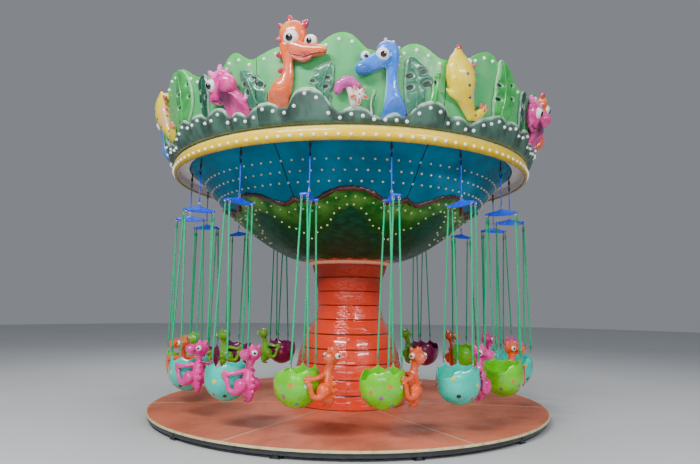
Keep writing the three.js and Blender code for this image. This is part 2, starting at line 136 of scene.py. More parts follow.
class RideColours(bpy.types.PropertyGroup):
    """Main colours"""

    deck: colour("Deck", "Painted deck plates", "de7453")
    trim: colour("Deck trim", "Edge trim of the deck", "e8d8a0")
    frame: colour("Frame", "Steel frame under the deck", "34393d")
    column: colour("Column", "Column cladding", "ff3c08")
    blue: colour("Upper bowl", "Upper half of the bowl", "007292")
    green: colour("Lower bowl", "Lower half of the bowl", "147a28")
    tree: colour("Trees", "Trees painted on the lower bowl", "04402a")
    border: colour("Border", "Wavy border on the bowl", "42140e")
    ring: colour("Light ring", "Ring under the crown", "ffd400")
    hedge: colour("Hedge", "Lower edge of the crown", "496e5f")
    crown: colour("Crown", "Upper sheet of the crown", "43ae64")
    hanger: colour("Hangers", "Rods and spreaders", "0050ff")
    rope: colour("Ropes", "Ropes of the seats", "00c886")
    lime: colour("Lime seats", "Lime egg seats", "70e000")
    turquoise: colour("Turquoise seats", "Turquoise egg seats", "00dcc4")
    purple: colour("Purple seats", "Purple egg seats", "800058")


def sizes():
    return bpy.context.scene.ride_sizes


def colours():
    return bpy.context.scene.ride_colours


# Places

def along(profile, height):
    return float(np.interp(height, [p[0] for p in profile], [p[1] for p in profile]))


def at(radius, degrees, height):
    """A point of the ride from its radius, its direction and its height above the deck."""
    turn = math.radians(degrees)
    return Vector((radius * math.sin(turn), -radius * math.cos(turn), height + DECK))


def out_of(profile, degrees, height):
    """The outward direction of a turned surface."""
    slope = (along(profile, height + 0.02) - along(profile, height - 0.02)) / 0.04
    turn = math.radians(degrees)
    return Vector((math.sin(turn), -math.cos(turn), -slope)).normalized()


def turned(degrees):
    """A turn about the ride's axis."""
    return Matrix.Rotation(math.radians(degrees), 3, "Z")


def spun(degrees, shift=(0, 0, 0)):
    """The place of a piece that is moved and then turned about the ride's axis."""
    return Matrix.Rotation(math.radians(degrees), 4, "Z") @ Matrix.Translation(shift)


def wave(value, low, high):
    """0 below low, 1 above high, and an even rise in between."""
    share = min(max((value - low) / (high - low), 0), 1)
    return share * share * (3 - 2 * share)


# Forms

def as_drawn(radius, degrees, height):
    """The radius of a turned outline that stays as it is all round."""
    return radius


class Form:
    """The points and faces of one piece while it is put together."""

    def __init__(self):
        self.points, self.faces, self.finishes = [], [], []

    def add(self, points, faces, finish=0):
        base = len(self.points)
        self.points += [Vector(p) for p in points]
        self.faces += [[base + i for i in face] for face in faces]
        self.finishes += [finish] * len(faces)

    def loft(self, rings, finish=0, closed=False, capped=True):
        """A skin over rings that have the same number of points."""
        count, rows = len(rings[0]), len(rings)
        faces = []
        for i in range(rows if closed else rows - 1):
            a, b = i * count, (i + 1) % rows * count
            for j in range(count):
                k = (j + 1) % count
                faces.append((a + j, a + k, b + k, b + j))
        if capped and not closed:
            faces += [range(count)[::-1], range((rows - 1) * count, rows * count)]
        self.add([p for ring in rings for p in ring], faces, finish)

    def lathe(self, outline, sides, finish=0, radius=as_drawn, cuts=()):
        """A ring from a closed outline of (radius, height), with extra points round each cut."""
        turns = {360 * i / sides for i in range(sides)}
        turns = sorted(turns | {(cut + d) % 360 for cut in cuts for d in (-0.25, -0.12, 0.12, 0.25)})
        self.loft([[at(radius(r, a, z), a, z) for r, z in outline] for a in turns], finish, closed=True)

    def tube(self, path, radius, sides=8, finish=0, closed=False):
        """A round bar along a path, with one radius or one for each point."""
        path = [Vector(p) for p in path]
        radii = list(radius) if hasattr(radius, "__len__") else [radius] * len(path)
        rings, side, last = [], None, len(path) - 1
        for i, point in enumerate(path):
            ahead = path[(i + 1) % len(path)] if closed or i < last else point
            behind = path[i - 1] if closed or i else point
            way = (ahead - behind).normalized()
            side = way.orthogonal() if side is None else side - way * side.dot(way)
            side.normalize()
            other = way.cross(side)
            turns = [2 * math.pi * j / sides for j in range(sides)]
            rings.append([point + (side * math.cos(t) + other * math.sin(t)) * radii[i] for t in turns])
        self.loft(rings, finish, closed)

    def limb(self, stations, finish=0, sides=10):
        """A bar with round ends through (x, y, z, radius)."""
        points = [Vector(s[:3]) for s in stations]
        radii = [s[3] for s in stations]
        start = (points[0] - points[1]).normalized()
        end = (points[-1] - points[-2]).normalized()
        tips = ((0.97, 0.24), (0.75, 0.66), (0.4, 0.92))
        path = [points[0] + start * radii[0] * d for d, _ in tips] + points
        path += [points[-1] + end * radii[-1] * d for d, _ in tips[::-1]]
        width = [radii[0] * w for _, w in tips] + radii + [radii[-1] * w for _, w in tips[::-1]]
        self.tube(path, width, sides, finish)

    def ball(self, centre, radii, finish=0, sides=14, rows=9, turn=None):
        """A ball, or an egg with three half-sizes."""
        radii = Vector(radii) if hasattr(radii, "__len__") else Vector((radii,) * 3)
        turn = turn or Matrix.Identity(3)
        rings = []
        for i in range(rows):
            tilt = math.pi * (i + 0.25) / (rows - 0.5)
            rings.append([
                Vector(centre) + turn @ Vector((
                    radii.x * math.sin(tilt) * math.cos(2 * math.pi * j / sides),
                    radii.y * math.sin(tilt) * math.sin(2 * math.pi * j / sides),
                    radii.z * math.cos(tilt),
                )) for j in range(sides)
            ])
        self.loft(rings, finish)

    def block(self, centre, size, turn=None, finish=0, edge=0.004):
        """A plate or bar with bevelled edges."""
        half = Vector(size) / 2
        edge = min(edge, *(0.4 * h for h in half))
        turn = turn or Matrix.Identity(3)
        rings = []
        for z, inset in ((-half.z, edge), (edge - half.z, 0), (half.z - edge, 0), (half.z, edge)):
            x, y = half.x - inset, half.y - inset
            corners = [
                (x, y - edge), (x - edge, y), (edge - x, y), (-x, y - edge),
                (-x, edge - y), (edge - x, -y), (x - edge, -y), (x, edge - y),
            ]
            rings.append([Vector(centre) + turn @ Vector((*c, z)) for c in corners])
        self.loft(rings, finish)

    def dome(self, place, facing, radius, finish=0):
        """A lamp: a collar and a dome on it."""
        turn = Vector(facing).to_track_quat("Z", "Y").to_matrix()
        outline = ((1.3, -0.3), (1.25, 0.25), (0.97, 0.6), (0.7, 1.1), (0.3, 1.32))
        turns = [math.pi * j / 4 for j in range(8)]
        self.loft([[
            Vector(place) + turn @ Vector((r * math.cos(t), r * math.sin(t), h)) * radius for t in turns
        ] for r, h in outline], finish)

    def hoop(self, centre, across, thick, normal, stretch=None, finish=0, sides=7, steps=14):
        """A ring of round bar; stretch is a direction that its length is added to."""
        turn = Vector(normal).to_track_quat("Z", "Y").to_matrix()
        stretch = Vector(stretch or (0, 0, 0))
        path = []
        for i in range(steps):
            t = 2 * math.pi * i / steps
            arm = turn @ Vector((math.cos(t), math.sin(t), 0)) * across
            path.append(Vector(centre) + arm + stretch * (1 if arm.dot(stretch) > 1e-9 else 0))
        self.tube(path, thick, sides, finish, closed=True)

    def bent(self):
        """Bends what was shaped flat, x along the crown and -y outward, onto the crown."""
        self.points = [bend(p) for p in self.points]
        return self

    def mesh(self, name, crease=38):
        """The finished mesh, smooth but for edges that bend by more than crease degrees."""
        mesh = bpy.data.meshes.new(name)
        mesh.from_pydata(self.points, [], self.faces)
        mesh.polygons.foreach_set("material_index", self.finishes)
        skin = bmesh.new()
        skin.from_mesh(mesh)
        bmesh.ops.recalc_face_normals(skin, faces=skin.faces)
        for face in skin.faces:
            face.smooth = True
        for edge in skin.edges:
            edge.smooth = edge.calc_face_angle(0) < math.radians(crease)
        skin.to_mesh(mesh)
        skin.free()
        return mesh

    def grown(self, name, voxel, rounds=3):
        """The parts grown together into one rounded skin."""
        rough = bpy.data.objects.new(name, self.mesh(name))
        bpy.context.collection.objects.link(rough)
        grow = rough.modifiers.new("Grow", "REMESH")
        grow.mode = "VOXEL"
        grow.voxel_size = voxel
        grow.use_smooth_shade = True
        soften = rough.modifiers.new("Soften", "SMOOTH")
        soften.factor = 0.5
        soften.iterations = rounds
        ready = rough.evaluated_get(bpy.context.evaluated_depsgraph_get())
        skin = bpy.data.meshes.new_from_object(ready)
        bpy.data.meshes.remove(rough.data)
        skin.name = name
        return skin


def thinned(mesh, share):
    """The same skin with fewer faces."""
    name = mesh.name
    holder = bpy.data.objects.new(name, mesh)
    bpy.context.collection.objects.link(holder)
    thin = holder.modifiers.new("Thin", "DECIMATE")
    thin.ratio = share
    ready = holder.evaluated_get(bpy.context.evaluated_depsgraph_get())
    skin = bpy.data.meshes.new_from_object(ready)
    bpy.data.meshes.remove(mesh)
    skin.name = name
    return skin


def bend(point):
    """Where a point of a flat shape lands on the crown."""
    return at(along(CROWN, point.z) - point.y, math.degrees(point.x / FLAT_RADIUS), point.z)


def bent_skin(mesh):
    for vertex in mesh.vertices:
        vertex.co = bend(vertex.co)
    return mesh


def note(mesh, name, value):
    """Keeps value(x, y, z) at every point of a mesh for its finish."""
    layer = mesh.attributes.new(name, "FLOAT", "POINT")
    layer.data.foreach_set("value", [value(*v.co) for v in mesh.vertices])
    return mesh


def fit(name, mesh, finishes, body="canopy", nodes=(), place=None):
    """One piece of the ride, on the body that it moves with."""
    if not mesh.materials:
        for finish in finishes:
            mesh.materials.append(finish)
    piece = bpy.data.objects.new(name, mesh)
    bpy.context.collection.objects.link(piece)
    piece.matrix_world = place or Matrix.Identity(4)
    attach(piece, body)
    if nodes:
        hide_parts(*nodes)
    return piece


# Finishes

class Finish:
    """A shader that is put together step by step."""

    def __init__(self, name, roughness=0.4, metal=0.0, coat=0.0, coat_roughness=0.06):
        self.material = bpy.data.materials.new(name)
        self.material.use_nodes = True
        self.tree = self.material.node_tree
        self.shader = self.tree.nodes["Principled BSDF"]
        self.shader.inputs["Metallic"].default_value = metal
        self.shader.inputs["Roughness"].default_value = roughness
        self.shader.inputs["Coat Weight"].default_value = coat
        self.shader.inputs["Coat Roughness"].default_value = coat_roughness
        self.place = self.node("ShaderNodeTexCoord").outputs["Object"]

    def node(self, kind, inputs=(), **settings):
        made = self.tree.nodes.new(kind)
        for key, value in settings.items():
            setattr(made, key, value)
        for key, value in dict(inputs).items():
            if isinstance(value, bpy.types.NodeSocket):
                self.tree.links.new(value, made.inputs[key])
            else:
                made.inputs[key].default_value = value
        return made

    def noise(self, scale, detail=3.0, stretch=(1, 1, 1)):
        """Clouds of a scale, finer along a direction that is stretched."""
        spread = self.node("ShaderNodeMapping", {"Vector": self.place, "Scale": stretch})
        return self.node(
            "ShaderNodeTexNoise", {"Vector": spread.outputs["Vector"], "Scale": scale, "Detail": detail}
        ).outputs["Fac"]

    def value(self, name):
        """What note kept on the mesh under a name."""
        return self.node("ShaderNodeAttribute", attribute_name=name).outputs["Fac"]

    def height(self):
        return self.node("ShaderNodeSeparateXYZ", {"Vector": self.place}).outputs["Z"]

    def tone(self):
        """What the base colour is so far."""
        return self.shader.inputs["Base Color"].links[0].from_socket

    def wander(self, scale, detail, size):
        """Noise about zero that makes a painted edge wander."""
        return self.math("MULTIPLY", self.math("SUBTRACT", self.noise(scale, detail), 0.5), size)

    def math(self, operation, a, b):
        return self.node("ShaderNodeMath", {0: a, 1: b}, operation=operation).outputs[0]

    def rise(self, value, low, high, start=0.0, end=1.0):
        """An even rise of a value between two limits."""
        span = {"Value": value, "From Min": low, "From Max": high, "To Min": start, "To Max": end}
        return self.node("ShaderNodeMapRange", span, interpolation_type="SMOOTHSTEP").outputs["Result"]

    def blend(self, amount, first, second):
        ends = [c if isinstance(c, bpy.types.NodeSocket) else (*c, 1) for c in (first, second)]
        return self.node("ShaderNodeMix", {0: amount, 6: ends[0], 7: ends[1]}, data_type="RGBA").outputs[2]

    def bump(self, height, strength, distance):
        before = self.shader.inputs["Normal"].links
        inputs = {"Height": height, "Strength": strength, "Distance": distance}
        if before:
            inputs["Normal"] = before[0].from_socket
        relief = self.node("ShaderNodeBump", inputs)
        self.tree.links.new(relief.outputs["Normal"], self.shader.inputs["Normal"])

    def into(self, socket, source):
        self.tree.links.new(source, self.shader.inputs[socket])


def toned(base, factor):
    return tuple(min(c * factor, 1) for c in base)


def towards(base, other, share):
    return tuple(a + (b - a) * share for a, b in zip(base, other))


def gel_coat(name, base, dark=0.78, light=1.15, scale=2.5, roughness=0.28, ripple=0.12, coat=0.6):
    """Glossy moulded plastic with a cloudy spray coat and a slightly wavy surface."""
    made = Finish(name, roughness, coat=coat)
    cloud = made.noise(scale, 4)
    made.into("Base Color", made.blend(made.rise(cloud, 0.34, 0.66), toned(base, dark), toned(base, light)))
    made.into("Roughness", made.rise(made.noise(scale * 6, 3), 0.3, 0.8, roughness * 0.75, roughness * 1.5))
    made.bump(made.noise(scale * 3.5, 2), ripple, 0.02)
    made.bump(made.noise(420, 2), 0.03, 0.001)
    return made


def steel(name, base, roughness=0.35):
    """Bare or darkened steel with duller spots."""
    made = Finish(name, roughness, metal=0.9)
    made.into("Base Color", made.blend(made.rise(made.noise(55, 5), 0.5, 0.75), base, toned(base, 0.65)))
    made.into("Roughness", made.rise(made.noise(130, 3), 0.3, 0.7, roughness * 0.7, roughness * 1.5))
    made.bump(made.noise(300, 3), 0.12, 0.001)
    return made


def enamel(name, base, roughness=0.35):
    """Paint on metal with small chips and grime."""
    made = Finish(name, roughness, coat=0.25, coat_roughness=0.2)
    grime = made.blend(made.rise(made.noise(9, 5), 0.45, 0.75), base, toned(base, 0.62))
    chips = made.rise(made.noise(70, 5), 0.7, 0.74)
    made.into("Base Color", made.blend(chips, grime, toned(base, 0.3)))
    made.into("Roughness", made.rise(made.noise(45, 4), 0.3, 0.7, roughness * 0.8, roughness * 1.6))
    made.bump(made.noise(260, 3), 0.1, 0.001)
    return made


# Platform

def deck_paint(base):
    """Worn floor paint: darker patches, dust and specks."""
    made = Finish("deck paint", 0.6)
    patches = made.blend(made.rise(made.noise(1.3, 5), 0.35, 0.7), toned(base, 1.1), toned(base, 0.72))
    pale = towards(base, (0.62, 0.45, 0.36), 0.35)
    dust = made.blend(made.rise(made.noise(16, 6), 0.55, 0.8), patches, pale)
    specks = made.rise(made.noise(140, 4), 0.66, 0.72)
    made.into("Base Color", made.blend(specks, dust, toned(base, 0.5)))
    made.into("Roughness", made.rise(made.noise(5, 5), 0.35, 0.7, 0.42, 0.75))
    made.bump(made.noise(90, 5), 0.25, 0.002)
    return made


def deck_plates():
    """Six painted plates, the pale joints between them and the pale rim."""
    seams = (-147.7, -83, -28, 28, 83, 147.7)
    low, inner, outer = -PLATE_THICKNESS, MAST_RADIUS + 0.04, PLATE_RADIUS
    outline = [(inner, low), (outer, low), (outer, -0.002), (outer - 0.002, 0), (inner, 0)]
    plates, trim = Form(), Form()
    for first, second in zip(seams, seams[1:] + (seams[0] + 360,)):
        turns = np.linspace(first + 0.08, second - 0.08, 48)
        plates.loft([[at(r, a, z) for r, z in outline] for a in turns])
    for degrees in seams:
        trim.block(at(1.923, degrees, -0.0115), (0.013, 2.12, 0.0255), turned(degrees), edge=0.001)
    rim = DECK_RADIUS
    trim.lathe([
        (outer, low), (rim, low), (rim, -0.003), (rim - 0.003, 0.002), (rim - 0.012, 0.002), (outer, -0.001),
    ], 240)
    paint, pale = deck_paint(colours().deck), enamel("trim paint", colours().trim, 0.45)
    fit("deck_plates", plates.mesh("deck_plates"), [paint.material], "base", ["deck"])
    fit("deck_trim", trim.mesh("deck_trim"), [pale.material], "base")


def under_frame():
    """Rim channel, spokes, hub and adjustable feet."""
    top, bottom, plate = -PLATE_THICKNESS - 0.0003, -0.0803, 0.008
    inner, outer = 2.9, DECK_RADIUS - 0.02
    form = Form()
    form.lathe([
        (outer, top), (outer, bottom), (inner, bottom), (inner, bottom + plate),
        (outer - plate, bottom + plate), (outer - plate, top - plate), (inner, top - plate), (inner, top),
    ], 180)
    form.lathe([(0.175, top), (0.5, top), (0.5, bottom), (0.175, bottom)], 48)
    middle = (top + bottom) / 2
    spoke = ((top - plate / 2, 0.08, plate), (bottom + plate / 2, 0.08, plate), (middle, plate, 0.05))
    for i in range(6):
        degrees = 30 + 60 * i
        for height, width, thick in spoke:
            form.block(at(1.68, degrees, height), (width, 2.56, thick), turned(degrees), edge=0.001)
    for i in range(12):
        degrees = 15 + 30 * i
        turn = turned(degrees)
        form.block(at(FOOT_CIRCLE, degrees, (bottom - DECK) / 2), (0.064, 0.064, DECK + bottom - 0.002), turn)
        form.block(at(FOOT_CIRCLE, degrees, 0.005 - DECK), (0.12, 0.09, 0.01), turn, edge=0.002)
        form.block(at(DECK_RADIUS - 0.014, degrees, -0.052), (0.075, 0.008, 0.05), turn, edge=0.002)
        for side in (-0.022, 0.022):
            place = at(DECK_RADIUS - 0.01, degrees, -0.052) + turn @ Vector((side, 0, 0))
            form.dome(place, turn @ Vector((0, -1, 0)), 0.006)
    paint = enamel("frame paint", colours().frame, 0.5)
    fit("under_frame", form.mesh("under_frame"), [paint.material], "base", ["base_frame"])


# Column

GROOVES = [0.2 + 0.215 * k for k in range(9)]
COLUMN_SEAMS = (-2.0, 88.0, 178.0, 268.0)


def eased(profile, height, reach=0.05):
    """A profile without its corners."""
    return sum(along(profile, height + reach * step) for step in (-1, -0.6, -0.2, 0.2, 0.6, 1)) / 6


def sunk(degrees, seams, depth, half=0.15):
    """How deep a vertical joint is in some direction."""
    near = min(abs((degrees - seam + 180) % 360 - 180) for seam in seams)
    return depth if near < half else 0.0


def to_groove(height):
    return min(abs(height - groove) for groove in GROOVES)


def swell(height):
    """0 at the edges of a course and 1 in its middle."""
    low = max([0.0] + [g for g in GROOVES if g <= height])
    high = min([COLUMN_TOP] + [g for g in GROOVES if g > height])
    return math.sin(math.pi * min(max((height - low) / (high - low), 0), 1))


def cladding():
    """Ten moulded courses with grooves and upright joints, and the screws along the joints."""
    depth, seam = sizes().groove, sizes().seam
    foot, top = 0.0005, COLUMN_TOP - 0.0125
    heights = set(np.linspace(foot, top, 40))
    heights |= {g + d for g in GROOVES for d in (-0.02, -0.011, -0.007, -0.003, 0.003, 0.007, 0.011, 0.02)}
    outer = []
    for z in sorted(heights):
        sinking = depth * wave(0.011 - to_groove(z), 0, 0.008)
        outer.append((eased(COLUMN, z) - sinking + 0.008 * (swell(z) - 0.75), z))
    inner = [(eased(COLUMN, z) - 0.03, z) for z in np.linspace(top, foot, 12)]
    form = Form()
    form.lathe(outer + inner, 120, cuts=COLUMN_SEAMS, radius=lambda r, a, z: r - sunk(a, COLUMN_SEAMS, seam))
    screws = Form()
    for degrees in COLUMN_SEAMS:
        for low, high in zip([0.0] + GROOVES, GROOVES + [COLUMN_TOP]):
            height = (low + high) / 2
            place = at(eased(COLUMN, height) + 0.001, degrees + 1.6, height)
            screws.dome(place, out_of(COLUMN, degrees, height), 0.0065)
    mesh = note(form.mesh("cladding"), "groove", lambda x, y, z: to_groove(z - DECK))
    fit("cladding", mesh, [column_paint().material], "base", ["column_cladding"])
    dark = steel("dark screws", (0.05, 0.04, 0.04))
    fit("cladding_screws", screws.mesh("cladding_screws"), [dark.material], "base")


def column_paint():
    """Wavy orange gel coat, glossy below and dull higher up, with dark grooves; painted shade of the bowl
    darkens its upper part, and a band of painted shade lies at its foot.
    """
    base = tuple(colours().column)
    coat = gel_coat("column gel coat", base, 0.86, 1.06, 1.6, 0.16, 0.0, 1.0)
    coat.bump(coat.noise(5.5, 2, (1, 1, 2.2)), 0.5, 0.03)
    coat.bump(coat.noise(17, 2, (1, 1, 2.6)), 0.5, 0.016)
    groove = coat.rise(coat.value("groove"), 0.005, 0.012)
    height = coat.height()
    # painted shade: the paint darkens towards the top, in the shade of the bowl
    darker = coat.blend(coat.rise(height, DECK + 1.25, DECK + 1.9, 0, 0.86), coat.tone(), toned(base, 0.34))
    # painted shade: a dark band where the column's foot meets the deck
    painted_foot_shade = coat.rise(height, DECK + 0.008, DECK + 0.014)
    coat.into("Base Color", coat.blend(painted_foot_shade, tint("2a1410"), coat.blend(groove, tint("3c1a14"), darker)))
    gloss = coat.shader.inputs["Roughness"].links[0].from_socket
    coat.into("Roughness", coat.math("ADD", gloss, coat.rise(height, DECK + 1.35, DECK + 1.8, 0, 0.3)))
    coat.into("Coat Weight", coat.rise(height, DECK + 1.35, DECK + 1.75, 1, 0.05))
    return coat


def collar():
    """The bright peach rim that closes the column round the mast; its faint glow is a painted highlight."""
    form, foot, inner = Form(), COLUMN_TOP - 0.012, MAST_RADIUS + 0.01
    form.lathe([
        (inner, foot), (0.612, foot), (0.638, foot + 0.006), (0.652, foot + 0.02), (0.656, foot + 0.044),
        (0.645, foot + 0.05), (inner, foot + 0.05),
    ], 120)
    bright = tint("ffb48c")
    rim = gel_coat("collar gel coat", bright, 0.92, 1.04, 3, 0.25, 0.05)
    # painted highlight: a faint glow in the rim's own tone, though it is no lamp
    rim.shader.inputs["Emission Color"].default_value = (*bright, 1)
    rim.shader.inputs["Emission Strength"].default_value = 0.12
    fit("collar", form.mesh("collar"), [rim.material], "base", ["column_collar"])


# Bowl

SEAMS = [22.5 + PANEL * i for i in range(8)]
TREE = [
    (2.13, 15), (2.2, 17), (2.25, 19), (2.32, 20.5), (2.4, 20), (2.45, 18.5), (2.49, 16.5), (2.52, 12),
    (2.56, 10.6), (2.6, 8.8), (2.64, 8.4), (2.68, 6.2), (2.72, 5.6), (2.75, 4), (2.77, 2.2), (2.785, 0),
]
# Lamps round each tree: degrees to either side and height
TREE_LAMPS = [
    (1.4, 2.815), (4.6, 2.775), (7.2, 2.715), (9.2, 2.645), (11.6, 2.58), (15.2, 2.555), (18.4, 2.5),
    (21.2, 2.43),
]
BORDER = [
    (0, 3.0), (5, 2.985), (8, 2.95), (12, 2.888), (14, 2.874), (15, 2.852), (17, 2.842), (18.5, 2.862),
    (20, 2.852), (21.3, 2.884), (22.5, 2.9),
]


def panel_side(degrees):
    """Degrees from the middle of the nearest panel."""
    return abs((degrees + PANEL / 2) % PANEL - PANEL / 2)


def border_height(degrees):
    return along(BORDER, panel_side(degrees))


def polar(x, y):
    return math.hypot(x, y), math.degrees(math.atan2(x, -y))


def sky(x, y, z):
    """How far a point lies above the wavy border."""
    return z - DECK - border_height(polar(x, y)[1])


def tree(x, y, z):
    """How far a point lies inside a painted tree."""
    radius, degrees = polar(x, y)
    return (along(TREE, z - DECK) - panel_side(degrees)) * radius * math.pi / 180


def bright_foot(x, y, z):
    """How far a point lies inside the bright foot of the bowl, which has a scalloped edge."""
    radius, degrees = polar(x, y)
    share = (degrees / 18) % 1 * 2 - 1
    return 0.735 + 0.05 * (1 - math.sqrt(1 - share * share)) - radius


def joint(x, y, z):
    """1 in the upright joints between the panels, 0 elsewhere."""
    return sunk(polar(x, y)[1], SEAMS, 1.0)


def bowl_paint():
    """Spray paint: blue over green, with dark trees and an orange foot; painted shade darkens the green
    further below the border, and the foot's pale peach by the collar is a painted highlight.
    """
    c = colours()
    made = Finish("bowl paint", 0.4, coat=0.02)
    made.shader.inputs["Specular IOR Level"].default_value = 0.14
    cloud = made.noise(2.2, 4)
    rough_edge, soft_edge = made.wander(14, 5, 0.16), made.wander(7, 4, 0.05)
    blue = made.blend(made.rise(cloud, 0.3, 0.7), toned(c.blue, 0.75), toned(c.blue, 1.2))
    # painted shade: the green darkens the further it lies below the border
    shade = made.rise(made.value("sky"), -0.3, -0.05)
    green = made.blend(shade, toned(c.green, 0.45), made.blend(
        made.rise(made.noise(4, 4), 0.35, 0.65), toned(c.green, 0.75), towards(c.green, (0.3, 0.62, 0.1), 0.4)
    ))
    leaves = made.blend(made.rise(made.noise(9, 5, (1, 1, 2)), 0.4, 0.7), c.tree, toned(c.tree, 1.9))
    in_tree = made.rise(made.math("ADD", made.value("tree"), rough_edge), -0.02, 0.03)
    # the orange foot runs from dark red at its scalloped edge to pale peach by the collar; the pale peach is
    # a painted highlight
    orange = made.blend(made.rise(made.value("bright_foot"), 0.0, 0.03), tint("8a1c10"), tint("ff8a58"))
    in_foot = made.rise(made.math("ADD", made.value("bright_foot"), soft_edge), -0.006, 0.006)
    lower = made.blend(in_foot, made.blend(in_tree, green, leaves), orange)
    whole = made.blend(made.rise(made.value("sky"), -0.004, 0.004), lower, blue)
    made.into("Base Color", made.blend(made.rise(made.value("joint"), 0.2, 0.8), whole, tint("052830")))
    made.into("Roughness", made.rise(made.noise(20, 3), 0.3, 0.8, 0.26, 0.46))
    made.bump(made.noise(6, 2), 0.14, 0.02)
    made.bump(made.noise(420, 2), 0.03, 0.001)
    return made


def bowl():
    """The two moulded shells of the bowl."""
    wall, seam = sizes().wall, sizes().seam
    paint = bowl_paint().material
    for name, low, high, rows, node, slot in (
        ("bowl_green", BOWL_BOTTOM, BOWL_SEAM, 56, "bowl_lower", "bowl_green"),
        ("bowl_blue", BOWL_SEAM + 0.0004, BOWL_TOP, 26, "bowl_upper", "bowl_blue"),
    ):
        form = Form()
        heights = low + (high - low) * np.linspace(0, 1, rows) ** (1.6 if low == BOWL_BOTTOM else 1)
        outer = [(eased(BOWL, z, 0.02), z) for z in heights]
        inner = [(eased(BOWL, z, 0.02) - wall * 1.4, z) for z in np.linspace(high, low + 0.006, 6)]
        form.lathe(outer + inner, 336, cuts=SEAMS, radius=lambda r, a, z: r - sunk(a, SEAMS, seam))
        mesh = form.mesh(name)
        for value in (sky, tree, bright_foot, joint):
            note(mesh, value.__name__, value)
        fit(name, mesh, [paint], "canopy", [node])


def bowl_border():
    """The raised wavy border between blue and green, and the ring under the bowl."""
    form, path, width = Form(), [], []
    for degrees in np.arange(0, 360, 0.75):
        height = sum(border_height(degrees + d) for d in (-0.7, 0, 0.7)) / 3
        path.append(at(eased(BOWL, height, 0.02) + 0.002, degrees, height))
        width.append(0.036 + 0.006 * math.sin(degrees * 0.9) + 0.005 * math.sin(degrees * 2.3))
    form.tube(path, width, 10, closed=True)
    bark = gel_coat("border paint", colours().border, 0.55, 1.5, 7, 0.4, 0.3)
    bark.bump(bark.noise(30, 4), 0.4, 0.006)
    fit("bowl_border", form.mesh("bowl_border"), [bark.material])
    foot, low = Form(), BOWL_BOTTOM - 0.006
    foot.lathe([
        (0.56, low), (0.68, low), (0.7, low + 0.002), (0.71, low + 0.008), (0.7, low + 0.014),
        (0.56, low + 0.014),
    ], 120)
    red = gel_coat("bowl foot", tint("c8481c"), 0.7, 1.2, 5, 0.3, 0.1)
    fit("bowl_foot", foot.mesh("bowl_foot"), [red.material])


def lamp_finish(name, light, dark, glow):
    """A milky lamp cap that may glow a little."""
    made = Finish(name, 0.22, coat=0.5)
    made.into("Base Color", made.blend(made.rise(made.noise(60, 2), 0.3, 0.7), tint(light), tint(dark)))
    made.bump(made.noise(300, 2), 0.05, 0.0006)
    made.shader.inputs["Subsurface Weight"].default_value = 0.1
    made.shader.inputs["Emission Color"].default_value = (1, 1, 0.96, 1)
    made.shader.inputs["Emission Strength"].default_value = glow
    return made


def bowl_lamps():
    """Three staggered rows on the blue, one under the border on the green, and one round each tree."""
    count, step = 96, 3.75
    places = [((i + row % 2 / 2) * step, z) for row, z in enumerate((3.31, 3.19, 3.07)) for i in range(count)]
    places += [((i + 0.5) * step, border_height((i + 0.5) * step) - 0.09) for i in range(count)]
    for i in range(8):
        places += [(PANEL * i + side * turn, height) for turn, height in TREE_LAMPS for side in (-1, 1)]
    form, size = Form(), sizes().bulb * 0.7
    for degrees, height in places:
        form.dome(at(eased(BOWL, height, 0.02), degrees, height), out_of(BOWL, degrees, height), size)
    lamp_finish("lamp cap", "ffffff", "f2f2ee", 0.25)
    cap = lamp_finish("dull lamp cap", "e8e0c8", "d2c8a8", 0.0)
    fit("bowl_lamps", form.mesh("bowl_lamps"), [cap.material])


def light_ring():
    """The yellow ring, with painted shade towards its bottom and a painted highlight towards its top, its
    white lining, the soffit inside it and its lamps.
    """
    base = tuple(colours().ring)
    made = Finish("ring paint", 0.36, coat=0.12)
    made.shader.inputs["Specular IOR Level"].default_value = 0.3
    height = made.height()
    # painted shade: the ring darkens to olive towards its bottom
    lower = made.blend(made.rise(height, DECK + 3.415, DECK + 3.5), tint("b09010"), base)
    # painted highlight: the ring turns pale towards its top
    painted_top_highlight = made.rise(height, DECK + 3.525, DECK + 3.585)
    whole = made.blend(painted_top_highlight, lower, towards(base, (1, 0.95, 0.4), 0.6))
    worn = made.rise(made.noise(8, 4), 0.4, 0.75, 0, 0.35)
    made.into("Base Color", made.blend(worn, whole, toned(base, 0.8)))
    made.into("Roughness", made.rise(made.noise(20, 3), 0.3, 0.8, 0.2, 0.42))
    made.bump(made.noise(7, 2), 0.12, 0.02)
    form, lining, lamps = Form(), Form(), Form()
    form.lathe([
        (RING_INNER, 3.599), (RING_INNER, 3.428), (2.75, 3.413), (2.77, 3.411), (2.786, 3.426), (2.796, 3.46),
        (RING_OUTER, 3.5), (2.797, 3.54), (2.787, 3.575), (2.77, 3.599),
    ], 240)
    lining.lathe([(2.7362, 3.54), (2.7362, 3.432), (2.7396, 3.432), (2.7396, 3.54)], 240)
    lining.lathe([(2.568, 3.541), (2.7392, 3.541), (2.7392, 3.546), (2.568, 3.546)], 240)
    for i in range(120):
        facing = at(1, i * 3, -DECK) + Vector((0, 0, -0.3))
        lamps.dome(at(2.794, i * 3, 3.472), facing, sizes().bulb)
    mesh = form.mesh("light_ring_band")
    fit("light_ring_band", mesh, [made.material], "canopy", ["light_ring"])
    white = gel_coat("white lining", tint("f4f4f0"), 0.88, 1.0, 4, 0.4, 0.08, 0.3)
    fit("light_ring_lining", lining.mesh("light_ring_lining"), [white.material])
    fit("light_ring_lamps", lamps.mesh("light_ring_lamps"), [bpy.data.materials["lamp cap"]])


